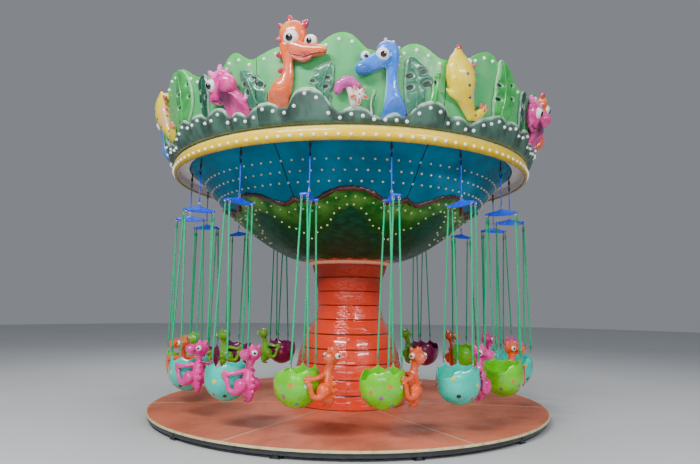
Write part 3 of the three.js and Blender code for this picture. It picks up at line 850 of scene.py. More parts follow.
def sweep():
    """Hub, post and arms of steel tube, and the eye bolts that the seats hang on."""
    arms, bolts = Form(), Form()
    low, high = ARM_BOTTOM, ARM_TOP
    arms.lathe([
        (0.06, low), (0.298, low), (0.3, low + 0.002), (0.3, high - 0.002), (0.298, high), (0.06, high),
    ], 64)
    arms.lathe([(0.02, low - 0.01), (0.2, low - 0.01), (0.2, low + 0.01), (0.02, low + 0.01)], 48)
    arms.lathe([(0.004, low), (0.05, low), (0.05, 4.149), (0.004, 4.149)], 32)
    for i in range(SEAT_COUNT):
        degrees = (i + 0.5) * 360 / SEAT_COUNT
        turn = turned(degrees)
        arms.block(at(1.512, degrees, (low + high) / 2), (0.05, 2.43, high - low), turn, edge=0.006)
        arms.block(at(HANG_RADIUS, degrees, low - 0.002), (0.07, 0.09, 0.005), turn, edge=0.001)
        bolts.tube([at(HANG_RADIUS, degrees, low - 0.004), at(HANG_RADIUS, degrees, 3.44)], 0.0085, 10, 0)
        bolts.tube([at(HANG_RADIUS, degrees, 3.452), at(HANG_RADIUS, degrees, 3.436)], 0.014, 6, 0)
        path = (
            (3.438, 0.011), (3.434, 0.0165), (3.4, 0.0165), (3.396, 0.012), (3.376, 0.012), (3.368, 0.008),
        )
        bolts.tube([at(HANG_RADIUS, degrees, z) for z, _ in path], [r for _, r in path], 14, 0)
        eye = at(HANG_RADIUS, degrees, PIVOT + 0.0185)
        bolts.hoop(eye, 0.0165, 0.005, turn @ Vector((0, 1, 0)), finish=1, sides=8)
    black = enamel("sweep paint", tint("1c1e20"), 0.4)
    blue = enamel("swivel paint", colours().hanger, 0.3)
    fit("sweep_arms", arms.mesh("sweep_arms"), [black.material], "canopy", ["sweep_frame"])
    fit("sweep_bolts", bolts.mesh("sweep_bolts"), [black.material, blue.material])


# Crown

# Wavy edges of two neighbouring panels: degrees, height
SHEET_EDGE = [
    (-23.5, 4.39), (-22, 4.417), (-19.5, 4.465), (-16.7, 4.5), (-13, 4.505), (-9, 4.49), (-7.6, 4.488),
    (-6.8, 4.505), (-5.8, 4.545), (-4.6, 4.584), (-3.4, 4.61), (-2, 4.62), (-0.8, 4.607), (0.3, 4.577),
    (1.3, 4.531), (2.4, 4.47), (3.4, 4.428), (6, 4.4), (9.5, 4.4), (10.6, 4.427), (11.2, 4.461),
    (12, 4.496), (13.2, 4.522), (14.6, 4.533), (15.8, 4.526), (17.2, 4.499), (18.8, 4.453), (20.4, 4.41),
    (22, 4.398), (25, 4.42), (28, 4.45), (29.5, 4.52), (30.9, 4.569), (32.3, 4.603), (34, 4.633),
    (35.5, 4.639), (36.9, 4.614), (37.8, 4.564), (38.3, 4.535), (38.8, 4.56), (39.6, 4.595), (41, 4.595),
    (43.4, 4.53), (45.7, 4.45), (48, 4.38), (52, 4.335), (56, 4.345), (57.8, 4.39), (58.7, 4.44),
    (59.6, 4.495), (61.1, 4.526), (62.4, 4.508), (64, 4.445), (65.2, 4.405), (66.5, 4.39), (68.5, 4.42),
]
HEDGE_EDGE = [
    (-23.5, 3.826), (-22.1, 3.868), (-20.8, 3.874), (-19.1, 3.865), (-17.7, 3.836), (-16.8, 3.805),
    (-15.2, 3.817), (-14.2, 3.871), (-13.5, 3.928), (-12.6, 3.975), (-11.6, 3.997), (-10.1, 4.002),
    (-8.5, 3.993), (-7.3, 3.96), (-6.1, 3.908), (-5.2, 3.84), (-4.4, 3.782), (-3.6, 3.743), (-3, 3.725),
    (-2.2, 3.734), (-1.3, 3.757), (-0.1, 3.782), (1.3, 3.787), (2.5, 3.774), (3.7, 3.747), (4.8, 3.712),
    (6, 3.686), (7.3, 3.67), (8.4, 3.709), (9.6, 3.734), (10.4, 3.737), (11.5, 3.717), (12.4, 3.696),
    (13.2, 3.723), (14.2, 3.776), (15.2, 3.829), (16.4, 3.869), (17.9, 3.888), (19.2, 3.905), (20.3, 3.903),
    (21.6, 3.881), (22.6, 3.844), (23.5, 3.8), (24.8, 3.735), (25.2, 3.762), (26.4, 3.78), (27.6, 3.776),
    (28.6, 3.755), (29.9, 3.718), (30.4, 3.714), (31.3, 3.742), (32.5, 3.781), (33.7, 3.817), (35.6, 3.839),
    (37, 3.865), (37.9, 3.887), (39.7, 3.92), (41.2, 3.92), (42.2, 3.896), (43.4, 3.855), (44.9, 3.893),
    (46.6, 3.908), (48.7, 3.9), (50.2, 3.866), (51.4, 3.832), (53, 3.88), (54.4, 3.906), (56.1, 3.905),
    (57.7, 3.877), (58.3, 3.824), (58.9, 3.768), (60, 3.8), (61.3, 3.817), (62.5, 3.808), (63.6, 3.774),
    (64.4, 3.75), (65.4, 3.8), (66.5, 3.826), (68.5, 3.87),
]
HEDGE_OUT = 0.044


def on_edge(edge, degrees, reach=0.3):
    """Height of a wavy edge, evened over a few degrees; the edges repeat every two panels."""
    turn = (degrees + PANEL / 2) % (2 * PANEL) - PANEL / 2
    return sum(along(edge, turn + reach * step) for step in (-1, -0.4, 0.4, 1)) / 4


def sheet_out(degrees, height):
    """How far the sheet stands out: broad folds that run upward."""
    share = wave(height, 3.7, 4.3)
    return -0.005 + share * (0.004 * math.sin(degrees * 0.5) + 0.0015 * math.sin(degrees * 1.3 + 1))


def hedge_fold(degrees, height):
    """How deep the fold between two bushes is."""
    top = on_edge(HEDGE_EDGE, degrees)
    dip = max(on_edge(HEDGE_EDGE, degrees, 3.2) - top, 0)
    return min(dip * 0.4, 0.024) * (1 - wave(top - height, 0.07, 0.3))


def hedge_out(degrees, height):
    """How far the hedge stands out: bushes with a rounded top and a fold where two of them meet."""
    below = max(on_edge(HEDGE_EDGE, degrees) - height, 0)
    rounded = math.sqrt(1 - (1 - min(below / 0.06, 1)) ** 2)
    swelling = 0.35 + 0.65 * wave(height, CROWN_FOOT, CROWN_FOOT + 0.04)
    return (HEDGE_OUT - hedge_fold(degrees, height)) * rounded * swelling


def crown_wall(name, edge, first, out, back):
    """A curved wall of one panel under a wavy edge; out(degrees, height) is how far it stands out."""
    form, rings, rows = Form(), [], 18
    for degrees in np.linspace(first + 0.08, first + PANEL - 0.08, 109):
        top = on_edge(edge, degrees)
        shares = [math.sin(math.pi / 2 * i / rows) for i in range(rows + 1)]
        heights = [CROWN_FOOT + (top - CROWN_FOOT) * share for share in shares]
        front = [(along(CROWN, z) + out(degrees, z), z) for z in heights]
        rest = [(along(CROWN, z) - back, z - (0.003 if z == top else 0)) for z in heights[::-3]]
        peak = (front[-1][0] * 0.5 + rest[0][0] * 0.5, top + 0.004)
        rings.append([at(r, degrees, z) for r, z in front + [peak] + rest])
    form.loft(rings)
    return note(form.mesh(name, 50), "edge", lambda x, y, z: on_edge(edge, polar(x, y)[1]) - (z - DECK))


def sprayed(name, base, edge_spray_and_highlight, deep_tone, reach, roughness=0.3, cloud=4.0, soft=1.0):
    """Gel coat that is sprayed in another tone along a wavy edge, a tone that on the hedge is partly a
    painted highlight, with painted shade in its folds.
    """
    made = Finish(name, roughness, coat=0.12, coat_roughness=0.2)
    drift = made.wander(cloud * 2, 4, reach * 1.2)
    depth = made.rise(made.math("ADD", made.value("edge"), drift), 0.0, reach)
    streak = made.rise(made.noise(cloud, 4, (1, 1, 0.35)), 0.42, 0.66, 0, soft)
    middle = made.blend(streak, base, deep_tone)
    # the edge tone is spray; on the hedge it is partly a painted highlight
    whole = made.blend(depth, edge_spray_and_highlight, middle)
    # painted shade: darker in the folds between the bushes
    painted_fold_shade = made.rise(made.value("fold"), 0.002, 0.02, 0, 0.8)
    made.into("Base Color", made.blend(painted_fold_shade, whole, toned(base, 0.22)))
    made.into("Roughness", made.rise(made.noise(18, 3), 0.3, 0.8, roughness * 0.8, roughness * 1.6))
    made.bump(made.noise(6, 3), 0.15, 0.02)
    made.bump(made.noise(420, 2), 0.03, 0.001)
    return made


# Where figures cover the upper edge and no lamp sits
COVERED = [(-17.2, -7.4), (3.4, 10.4), (21.6, 29.2), (53.2, 58.2)]


def crown_walls():
    """The upper sheets, the hedges in front of them and the lamps along both edges, in two kinds of panel."""
    c, wall = colours(), sizes().sheet
    pale = towards(c.crown, tint("a8dc98"), 0.4)
    upper = sprayed("crown paint", tuple(c.crown), tint("38cc48"), pale, 0.085, 0.42, soft=0.5)
    # the hedge's pale top edge is partly sprayed tone and partly a painted highlight where light falls on the
    # bushes
    lower = sprayed("hedge paint", tuple(c.hedge), tint("c4e4cc"), toned(c.hedge, 0.45), 0.07, 0.35, 5)
    shade = gel_coat("joint shade", tint(DARK_JOINT), 0.7, 1.2, 8, 0.6, 0.2, 0.1)
    sill = Form()
    sill.lathe([
        (2.76, 3.5992), (2.788, 3.5995), (2.8, 3.6003), (2.812, 3.6035), (2.822, 3.61), (2.826, 3.622),
        (2.76, 3.622),
    ], 240)
    # painted shade: the sill under the hedge's foot takes a darker tone of the hedge
    paint = gel_coat("sill paint", toned(c.hedge, 0.6), 0.8, 1.1)
    fit("crown_sill", sill.mesh("crown_sill"), [paint.material])
    for kind in range(2):
        first = PANEL * (kind - 0.5)
        sheet = crown_wall(f"crown_sheet_{kind}", SHEET_EDGE, first, sheet_out, wall * 0.65)
        hedge = crown_wall(f"crown_hedge_{kind}", HEDGE_EDGE, first, hedge_out, 0.018)
        note(hedge, "fold", lambda x, y, z: hedge_fold(polar(x, y)[1], z - DECK))
        form = Form()
        for degrees in np.arange(first + 1.3, first + PANEL, 2.65):
            height = min(on_edge(HEDGE_EDGE, degrees + d) for d in (-1.1, -0.5, 0, 0.5, 1.1)) - 0.078
            height = max(height, CROWN_FOOT + 0.036)
            place = at(along(CROWN, height) + hedge_out(degrees, height) + 0.001, degrees, height)
            form.dome(place, out_of(CROWN, degrees, height), sizes().bulb)
        joints = Form()
        for side in (0, PANEL):
            top = on_edge(SHEET_EDGE, first + side)
            heights = np.linspace(CROWN_FOOT, top - 0.02, 12)
            joints.tube([at(along(CROWN, z) - 0.012, first + side, z) for z in heights], 0.007)
        for degrees in np.arange(first + 2, first + PANEL, 2.93):
            if not any(low < degrees < high for low, high in COVERED):
                height = on_edge(SHEET_EDGE, degrees, 1.2) - 0.068
                place = at(along(CROWN, height) + sheet_out(degrees, height), degrees, height)
                form.dome(place, out_of(CROWN, degrees, height), sizes().bulb)
        lamps, seams = form.mesh(f"crown_lamps_{kind}"), joints.mesh(f"crown_joints_{kind}")
        for quarter in range(4):
            number, place = 2 * quarter + kind + 1, spun(90 * quarter)
            node = [f"crown_panel_{number}"]
            fit(f"crown_sheet_{number}", sheet, [upper.material], "canopy", node, place)
            fit(f"crown_hedge_{number}", hedge, [lower.material], place=place)
            fit(f"crown_lamps_{number}", lamps, [bpy.data.materials["lamp cap"]], place=place)
            fit(f"crown_joint_{number}", seams, [shade.material], place=place)


def roof():
    """Sixteen gores with ribs behind the crown."""
    form, rim = Form(), along(CROWN, 3.9) - 0.0205
    form.lathe([
        (0.06, 4.155), (0.5, 4.112), (rim - 0.03, 3.889), (rim, 3.897), (rim, 3.9005), (0.5, 4.135),
        (0.06, 4.17),
    ], 192)
    for i in range(SEAT_COUNT):
        ridge = ((0.12, 4.168), (0.5, 4.137), (1.2, 4.067), (2.0, 3.988), (rim - 0.02, 3.905))
        form.tube([at(r, 11.25 + 22.5 * i, z) for r, z in ridge], 0.014, 8)
    form.lathe([(0.004, 4.16), (0.16, 4.16), (0.16, 4.175), (0.13, 4.185), (0.004, 4.185)], 48)
    paint = gel_coat("roof gel coat", tint("4e8068"), 0.75, 1.15, 2, 0.4, 0.15, 0.3)
    fit("roof_gores", form.mesh("roof_gores"), [paint.material], "canopy", ["roof_cover"])


# Crown figures, shaped flat: x along the crown, height above the deck, distance outward, radius.
# An eye is x, height, size and pupil; a nub is x, height, direction in degrees and size;
# a lip is a line of x and height; a mark and a spray are x, height, size and tone.

NECK = {
    "name": "long_neck",
    "tone": "fa6428",
    "rim": "c83c28",
    "reach": 0.06,
    "depth": 0.9,
    "limbs": [
        [
            (-0.88, 3.7, 0.03, 0.1), (-0.88, 3.8, 0.03, 0.122), (-0.862, 3.92, 0.035, 0.125),
            (-0.805, 4.01, 0.04, 0.118), (-0.757, 4.08, 0.045, 0.088), (-0.737, 4.15, 0.05, 0.07),
            (-0.727, 4.25, 0.055, 0.056), (-0.735, 4.34, 0.06, 0.066), (-0.74, 4.45, 0.065, 0.088),
        ],
        [
            (-0.66, 4.44, 0.07, 0.1), (-0.53, 4.382, 0.09, 0.086), (-0.42, 4.375, 0.105, 0.068),
            (-0.33, 4.37, 0.115, 0.06),
        ],
        [
            (-0.66, 4.37, 0.07, 0.05), (-0.6, 4.31, 0.085, 0.042), (-0.53, 4.277, 0.095, 0.032),
            (-0.47, 4.29, 0.1, 0.022),
        ],
    ],
    "balls": [((-0.672, 4.6, 0.06), (0.158, 0.155, 0.095)), ((-0.47, 4.46, 0.06), (0.06, 0.06, 0.06))],
    "eyes": [(-0.672, 4.53, 0.09, 0.043, -0.05), (-0.458, 4.49, 0.072, 0.034, -0.15)],
    "nubs": [
        (-0.7, 4.745, 92, 0.042), (-0.545, 4.68, 50, 0.048), (-0.805, 4.7, 140, 0.03),
        (-0.825, 4.55, 178, 0.032), (-0.795, 4.37, 182, 0.046), (-0.785, 4.19, 184, 0.042),
    ],
    "nub": "c8244c",
    "lips_and_chin_shadow": [
        (
            [(-0.68, 4.36), (-0.6, 4.325), (-0.52, 4.305), (-0.44, 4.325), (-0.36, 4.33), (-0.29, 4.335)],
            0.009, "8a2424",
        ),
        ([(-0.665, 4.33), (-0.61, 4.285), (-0.535, 4.262), (-0.475, 4.283), (-0.44, 4.31)], 0.013, "e0584c"),
    ],
    "marks": [],
    "sprays": [(-0.31, 4.42, 0.075, "ecc83c"), (-0.78, 4.72, 0.14, "f0a040"), (-0.5, 4.3, 0.1, "c84438")],
}
BLUE = {
    "name": "blue_neck",
    "tone": "0878f0",
    "rim": "a8dcf0",
    "reach": 0.088,
    "depth": 0.9,
    "limbs": [
        [
            (0.515, 3.62, 0.02, 0.14), (0.512, 3.72, 0.02, 0.146), (0.5, 3.8, 0.03, 0.126),
            (0.482, 3.88, 0.035, 0.1), (0.468, 3.96, 0.04, 0.08), (0.46, 4.05, 0.045, 0.068),
            (0.455, 4.15, 0.05, 0.066), (0.455, 4.26, 0.055, 0.078), (0.44, 4.36, 0.06, 0.094),
        ],
        [
            (0.37, 4.31, 0.07, 0.1), (0.25, 4.24, 0.085, 0.092), (0.15, 4.18, 0.095, 0.084),
            (0.108, 4.165, 0.1, 0.078),
        ],
    ],
    "balls": [((0.4, 4.4, 0.06), (0.125, 0.11, 0.09)), ((0.16, 4.3, 0.05), (0.05, 0.05, 0.045))],
    "eyes": [(0.332, 4.315, 0.077, 0.036, 0.0), (0.15, 4.318, 0.056, 0.025, 0.1)],
    "nubs": [
        (0.375, 4.495, 95, 0.028), (0.45, 4.475, 62, 0.028), (0.505, 4.42, 35, 0.028), (0.52, 4.33, 8, 0.024),
        (0.515, 4.24, 0, 0.022),
    ],
    "nub": "b4ccd4",
    "lips_and_chin_shadow": [([(0.055, 4.125), (0.12, 4.107), (0.2, 4.122), (0.29, 4.165), (0.37, 4.205)], 0.007, "1c4a90")],
    "marks": [],
    "sprays": [(0.12, 4.12, 0.13, "1e66c0")],
}
YELLOW = {
    "name": "yellow_neck",
    "tone": "ffdc00",
    "rim": "c0c020",
    "reach": 0.05,
    "depth": 0.62,
    "limbs": [
        [
            (1.262, 4.5, 0.09, 0.055), (1.265, 4.44, 0.09, 0.108), (1.278, 4.35, 0.09, 0.162),
            (1.305, 4.25, 0.09, 0.19), (1.335, 4.15, 0.085, 0.19), (1.372, 4.05, 0.08, 0.162),
            (1.43, 3.95, 0.07, 0.112), (1.482, 3.87, 0.06, 0.08), (1.54, 3.805, 0.05, 0.068),
            (1.62, 3.81, 0.05, 0.058), (1.69, 3.86, 0.055, 0.06), (1.725, 3.9, 0.06, 0.05),
        ],
        [(1.13, 4.035, 0.1, 0.014), (1.2, 4.0, 0.1, 0.042), (1.29, 3.985, 0.09, 0.06)],
    ],
    "balls": [],
    "eyes": [(1.435, 4.415, 0.055, 0.024, 0.9)],
    "nubs": [
        (1.49, 4.385, 20, 0.03), (1.515, 4.3, 5, 0.022), (1.52, 4.21, 0, 0.022), (1.5, 4.12, -10, 0.022),
        (1.555, 3.885, 100, 0.016), (1.665, 3.93, 100, 0.024), (1.735, 3.935, 75, 0.024),
        (1.765, 3.89, 30, 0.022),
    ],
    "nub": "e86a70",
    "lips_and_chin_shadow": [],
    "marks": [
        (1.258, 4.54, 0.036, "c41c34"), (1.262, 4.565, 0.014, "4a0c18"), (1.33, 4.215, 0.02, "5a2c90"),
        (1.375, 4.095, 0.021, "4a2070"), (1.42, 3.975, 0.021, "4a2070"), (1.19, 4.3, 0.012, "c8a818"),
        (1.2, 4.14, 0.012, "c8a818"), (1.715, 3.885, 0.015, "8a4a28"), (1.585, 3.805, 0.015, "8a4a28"),
    ],
    "sprays": [(1.57, 4.2, 0.16, "f0a890"), (1.5, 4.03, 0.1, "ecb090")],
}
PINK = {
    "name": "round_head",
    "tone": "e81e94",
    "rim": "a82c84",
    "reach": 0.06,
    "depth": 0.95,
    "limbs": [
        [(3.1, 4.02, 0.04, 0.13), (3.165, 3.92, 0.04, 0.15), (3.2, 3.8, 0.03, 0.165), (3.2, 3.7, 0.02, 0.15)],
        [(2.86, 3.99, 0.07, 0.06), (2.97, 3.955, 0.08, 0.055), (3.09, 3.97, 0.08, 0.05)],
    ],
    "balls": [
        ((2.965, 4.14, 0.05), (0.205, 0.195, 0.11)), ((2.9, 4.16, 0.09), (0.09, 0.1, 0.07)),
        ((3.02, 4.235, 0.1), (0.07, 0.07, 0.06)),
    ],
    "knobs": [((3.15, 4.105, 0.14), (0.118, 0.112, 0.11))],
    "eyes": [(2.893, 4.13, 0.078, 0.04, 0.05)],
    "nubs": [
        (2.82, 4.31, 130, 0.04), (2.97, 4.335, 80, 0.04), (3.07, 4.29, 60, 0.034), (3.32, 3.92, 30, 0.03),
    ],
    "nub": "f070c8",
    # painted shadow: this dark line along the chin is the jaw's shadow
    "lips_and_chin_shadow": [([(2.8, 4.0), (2.86, 3.965), (2.95, 3.945), (3.05, 3.955)], 0.009, "5a1038")],
    "marks": [],
    # painted shadow: the first, dark maroon spray is the shadow under the jaw
    "sprays": [(3.1, 3.99, 0.19, "4c0c34"), (2.95, 4.3, 0.12, "ff8cd8")],
}


def flat(point):
    """A point of a figure's table in the flat shape."""
    x, height, out = point[:3]
    return Vector((x, -out, height))


def eye_ball(form, centre, facing, size, pupil):
    """A white eye with a black pupil that stands a little proud."""
    facing = Vector(facing).normalized()
    form.ball(centre, size, 0, 18, 11)
    turn = facing.to_track_quat("Z", "Y").to_matrix()
    reach = math.sqrt(size * size - pupil * pupil) - size * 0.06
    thick = size * 1.08 - reach
    form.ball(Vector(centre) + facing * reach, (pupil, pupil, thick), 1, 16, 9, turn)
    # painted highlight: a small white glint on the pupil
    glint = Vector(centre) + facing * (reach + thick * 0.86) + turn @ Vector((0.3, 0.4, 0)) * pupil
    form.ball(glint, (pupil * 0.22, pupil * 0.22, thick * 0.12), 2, 8, 5, turn)


def spike(form, foot, direction, size, finish=0):
    """A short blunt cone with its root sunk in."""
    foot, direction = Vector(foot), Vector(direction).normalized()
    stations = [(-0.6, 1), (0.3, 0.97), (0.75, 0.85), (1.0, 0.66)]
    form.limb([(*(foot + direction * size * far), size * wide) for far, wide in stations], finish, 10)


def airbrushed(name, base, rim=None, sprays=(), reach=0.06):
    """Gel coat in soft clouds; a rim tone where a figure meets the crown, and sprayed patches, some of them
    painted shadow.
    """
    made = gel_coat(name, base, 0.84, 1.1, 4, 0.24, 0.1)
    fade = made.rise(made.noise(9, 3), 0.42, 0.62, 0, 0.2)
    tone = made.blend(fade, made.tone(), towards(base, (1, 0.9, 0.8), 0.35))
    if rim:
        tone = made.blend(made.rise(made.value("relief"), reach - 0.04, reach), rim, tone)
    for i, patch in enumerate(sprays):
        tone = made.blend(made.rise(made.value(f"spray_{i}"), 0.05, 0.6, 0, 0.92), tone, tint(patch[-1]))
    made.into("Base Color", tone)
    return made.material


def eye_finishes():
    """White, pupil and glint."""
    white = gel_coat("eye white", tint("fafaf6"), 0.94, 1.0, 6, 0.12, 0.02)
    black = gel_coat("pupil", tint("100e10"), 0.7, 1.4, 6, 0.1, 0.02)
    glint = gel_coat("eye glint", tint("ffffff"), 0.95, 1.0, 6, 0.15, 0.02)
    return [white.material, black.material, glint.material]


def above_hedge(x, z):
    """How far a point of a flat shape lies above the hedge."""
    return z - on_edge(HEDGE_EDGE, math.degrees(x / FLAT_RADIUS))


def settle(mesh, depth):
    """Flattens a figure's relief, keeps its back in the sheet and lets it rise from behind the hedge."""
    for vertex in mesh.vertices:
        x, y, z = vertex.co
        degrees = math.degrees(x / FLAT_RADIUS)
        out, z = -y * (depth if y < 0 else 1), max(z, CROWN_FOOT + 0.03)
        above = above_hedge(x, z)
        limit = hedge_out(degrees, z) - 0.012 if above < -0.02 else 0.022 + (above + 0.02) * 0.8
        out = min(out, max(limit, 0.004))
        if z < on_edge(SHEET_EDGE, degrees) - 0.03:
            out = max(out, -0.01)
        vertex.co = (x, -out, z)
    return mesh


def on_quarters(name, mesh, finishes):
    """A piece of the crown that stands on every second panel."""
    for quarter in range(4):
        fit(f"{name}_{quarter + 1}", mesh, finishes, place=spun(90 * quarter))


def crown_figure(figure, finishes):
    """One kind of dinosaur on the crown: its grown body, its eyes, nubs, mouth lines and painted marks; on
    the round head a chin line and a patch are painted shadow.
    """
    name = figure["name"]
    body, eyes, nubs, marks = Form(), Form(), Form(), Form()
    for stations in figure["limbs"]:
        body.limb([(*flat(s), s[3]) for s in stations], sides=16)
    for centre, (across, high, deep) in figure["balls"]:
        body.ball(flat(centre), (across, deep, high), sides=20, rows=13)
    skin = thinned(settle(body.grown(f"crown_{name}", 0.0105), figure["depth"]), 0.27)
    for centre, (across, high, deep) in figure.get("knobs", ()):
        marks.ball(flat(centre), (across, deep, high), 0, 28, 19)
    hull = BVHTree.FromPolygons([v.co for v in skin.vertices], [p.vertices for p in skin.polygons])

    def on_skin(x, height, above=0.0):
        hit = hull.ray_cast(Vector((x, -0.6, height)), Vector((0, 1, 0)))[0]
        return Vector((x, (hit.y if hit else -0.04) - above, height))

    for x, height, size, pupil, aside in figure["eyes"]:
        centre = on_skin(x, height, -size * 0.45)
        marks.ball(centre + Vector((0, size * 0.2, 0)), size * 1.1, 0, 20, 13)
        eye_ball(eyes, centre + Vector((0, -size * 0.12, 0)), (aside, -1, -0.3), size, pupil)
    for x, height, direction, size in figure["nubs"]:
        turn = math.radians(direction)
        spike(nubs, (x, -0.05, height), (math.cos(turn), -0.1, math.sin(turn)), size)
    tones = [figure["tone"]] + sorted({part[-1] for part in figure["lips_and_chin_shadow"] + figure["marks"]})
    for line, size, tone in figure["lips_and_chin_shadow"]:
        marks.limb([(*on_skin(x, z, size * 0.1), size) for x, z in line], tones.index(tone), 10)
    for x, height, size, tone in figure["marks"]:
        marks.ball(on_skin(x, height), (size, size * 0.3, size), tones.index(tone), 14, 9)
    note(skin, "relief", lambda x, y, z: 0.08 * (1 - wave(above_hedge(x, z), 0.05, 0.16)) - y)
    for i, (x0, z0, size, _) in enumerate(figure["sprays"]):
        note(skin, f"spray_{i}", lambda x, y, z: 1 - math.hypot(x - x0, z - z0) / size)
    tone, rim = tint(figure["tone"]), tint(figure["rim"])
    coat = airbrushed(f"{name} skin", tone, rim, figure["sprays"], figure["reach"])
    nub_coat = airbrushed(f"{name} nubs", tint(figure["nub"]))
    mark_coats = [airbrushed(f"{name} mark {tone}", tint(tone)) for tone in tones]
    on_quarters(f"crown_{name}", bent_skin(skin), [coat])
    parts = (("eyes", eyes, finishes), ("nubs", nubs, [nub_coat]), ("marks", marks, mark_coats))
    for part, form, paints in parts:
        on_quarters(f"crown_{name}_{part}", form.bent().mesh(f"crown_{name}_{part}"), paints)


# Leaves: tone, outline in x and height, holes in x, height, half-width, half-height and tilt, and the rib
LEAVES = [
    ("grey", [
        (-0.215, 4.285), (-0.275, 4.277), (-0.336, 4.257), (-0.4, 4.21), (-0.455, 4.19), (-0.4, 4.15),
        (-0.445, 4.13), (-0.5, 4.092), (-0.515, 4.053), (-0.445, 4.02), (-0.42, 3.96), (-0.42, 3.84),
        (-0.25, 3.8), (-0.235, 3.9), (-0.27, 3.943), (-0.22, 3.972), (-0.21, 4.042), (-0.205, 4.142),
        (-0.2, 4.222),
    ], [(-0.276, 4.094, 0.04, 0.015, -5), (-0.302, 3.992, 0.04, 0.02, 10), (-0.455, 4.06, 0.035, 0.02, -10)],
     [(-0.33, 3.86), (-0.335, 4.0), (-0.3, 4.12), (-0.24, 4.25)]),
    ("grey", [
        (-1.394, 4.28), (-1.333, 4.29), (-1.24, 4.262), (-1.185, 4.225), (-1.205, 4.175), (-1.13, 4.172),
        (-1.078, 4.118), (-1.035, 4.08), (-1.07, 4.046), (-1.028, 4.002), (-1.02, 3.925), (-1.05, 3.82),
        (-1.2, 3.8), (-1.29, 3.82), (-1.345, 3.93), (-1.35, 4.075), (-1.388, 4.18),
    ], [(-1.325, 4.111, 0.024, 0.03, 0), (-1.284, 4.012, 0.024, 0.04, 10), (-1.178, 4.174, 0.045, 0.022, -10),
        (-1.107, 4.083, 0.05, 0.032, -15)],
     [(-1.16, 3.86), (-1.21, 4.0), (-1.27, 4.15), (-1.33, 4.25)]),
    ("grey", [
        (0.632, 4.345), (0.668, 4.38), (0.722, 4.373), (0.789, 4.322), (0.858, 4.275), (0.915, 4.25),
        (0.865, 4.198), (0.954, 4.169), (0.985, 4.126), (0.917, 4.041), (0.88, 3.974), (0.9, 3.86),
        (0.87, 3.77), (0.7, 3.68), (0.64, 3.78), (0.625, 3.958), (0.61, 4.069), (0.62, 4.181),
        (0.622, 4.273),
    ], [(0.672, 4.145, 0.05, 0.03, 15), (0.682, 4.014, 0.05, 0.03, 20), (0.842, 4.212, 0.05, 0.028, 20),
        (0.89, 4.073, 0.058, 0.032, 25)],
     [(0.77, 3.8), (0.782, 3.95), (0.768, 4.1), (0.72, 4.24), (0.68, 4.34)]),
    ("bright", [
        (1.075, 4.25), (1.01, 4.225), (0.955, 4.18), (0.98, 4.13), (0.96, 4.067), (0.975, 4.007),
        (0.95, 3.92), (0.96, 3.84), (1.06, 3.84), (1.055, 3.996), (1.04, 4.056), (1.06, 4.131),
        (1.075, 4.196),
    ], [(1.0, 4.11, 0.02, 0.03, 0)], [(1.0, 3.88), (1.015, 4.02), (1.03, 4.15)]),
    ("light", [
        (1.999, 4.612), (1.957, 4.54), (1.953, 4.431), (1.931, 4.328), (1.915, 4.236), (1.927, 4.151),
        (1.899, 4.067), (1.907, 3.973), (1.94, 3.84), (2.2, 3.84), (2.292, 3.936), (2.36, 4.044),
        (2.376, 4.139), (2.38, 4.231), (2.345, 4.313), (2.307, 4.404), (2.243, 4.496), (2.137, 4.574),
    ], [(1.998, 4.274, 0.055, 0.02, 0), (2.0, 4.098, 0.062, 0.023, 5), (2.29, 4.17, 0.04, 0.022, 0),
        (2.26, 4.34, 0.035, 0.022, 10)],
     [(2.07, 3.9), (2.11, 4.1), (2.1, 4.3), (2.06, 4.45), (2.02, 4.56)]),
    ("dark", [
        (2.607, 4.375), (2.68, 4.36), (2.712, 4.238), (2.7, 4.16), (2.715, 4.075), (2.69, 3.98), (2.7, 3.82),
        (2.56, 3.82), (2.545, 3.98), (2.52, 4.06), (2.535, 4.15), (2.51, 4.26), (2.55, 4.33),
    ], [(2.575, 4.16, 0.025, 0.02, 0), (2.655, 4.08, 0.03, 0.02, 0), (2.58, 3.99, 0.028, 0.02, 0)],
     [(2.62, 3.86), (2.615, 4.1), (2.625, 4.3)]),
]
LEAF_TONES = {"grey": "35785a", "bright": "00a83c", "light": "30a848", "dark": "0c5038"}


def rounded(loop):
    """A closed outline with its corners cut, twice."""
    for _ in range(2):
        pairs = list(zip(loop, loop[1:] + loop[:1]))
        loop = [
            tuple(a + (b - a) * t for a, b in zip(p, q)) for p, q in pairs for t in (0.25, 0.75)
        ]
    return loop


def oval(x, height, across, high, tilt, share=1.0):
    """The outline of a hole in a leaf."""
    turn = math.radians(tilt)
    points = []
    for t in [2 * math.pi * k / 16 for k in range(16)]:
        u, v = across * share * math.cos(t), high * share * math.sin(t)
        right, up = u * math.cos(turn) - v * math.sin(turn), u * math.sin(turn) + v * math.cos(turn)
        points.append((x + right, height + up))
    return points


def plate(form, loops, front, back, finish=0):
    """A flat plate with holes: loops holds its outline and the holes' outlines."""
    points = [p for loop in loops for p in loop]
    count = len(points)
    sheet = tessellate_polygon([[Vector((*p, 0)) for p in loop] for loop in loops])
    faces = [tuple(t) for t in sheet] + [tuple(i + count for i in t)[::-1] for t in sheet]
    first = 0
    for loop in loops:
        for i in range(len(loop)):
            a, b = first + i, first + (i + 1) % len(loop)
            faces.append((a, b, b + count, a + count))
        first += len(loop)
    form.add([(x, -front, z) for x, z in points] + [(x, -back, z) for x, z in points], faces, finish)


def edge_distance(mesh, loops):
    """Distance of every point of a mesh to the nearest outline, as seen from the front."""
    spots = np.array([(v.co.x, v.co.z) for v in mesh.vertices])
    nearest = np.full(len(spots), 9.0)
    for loop in loops:
        for p, q in zip(loop, loop[1:] + loop[:1]):
            p, way = np.array(p), np.array(q) - np.array(p)
            share = np.clip((spots - p) @ way / (way @ way + 1e-12), 0, 1)
            nearest = np.minimum(nearest, np.linalg.norm(spots - p - share[:, None] * way, axis=1))
    return nearest


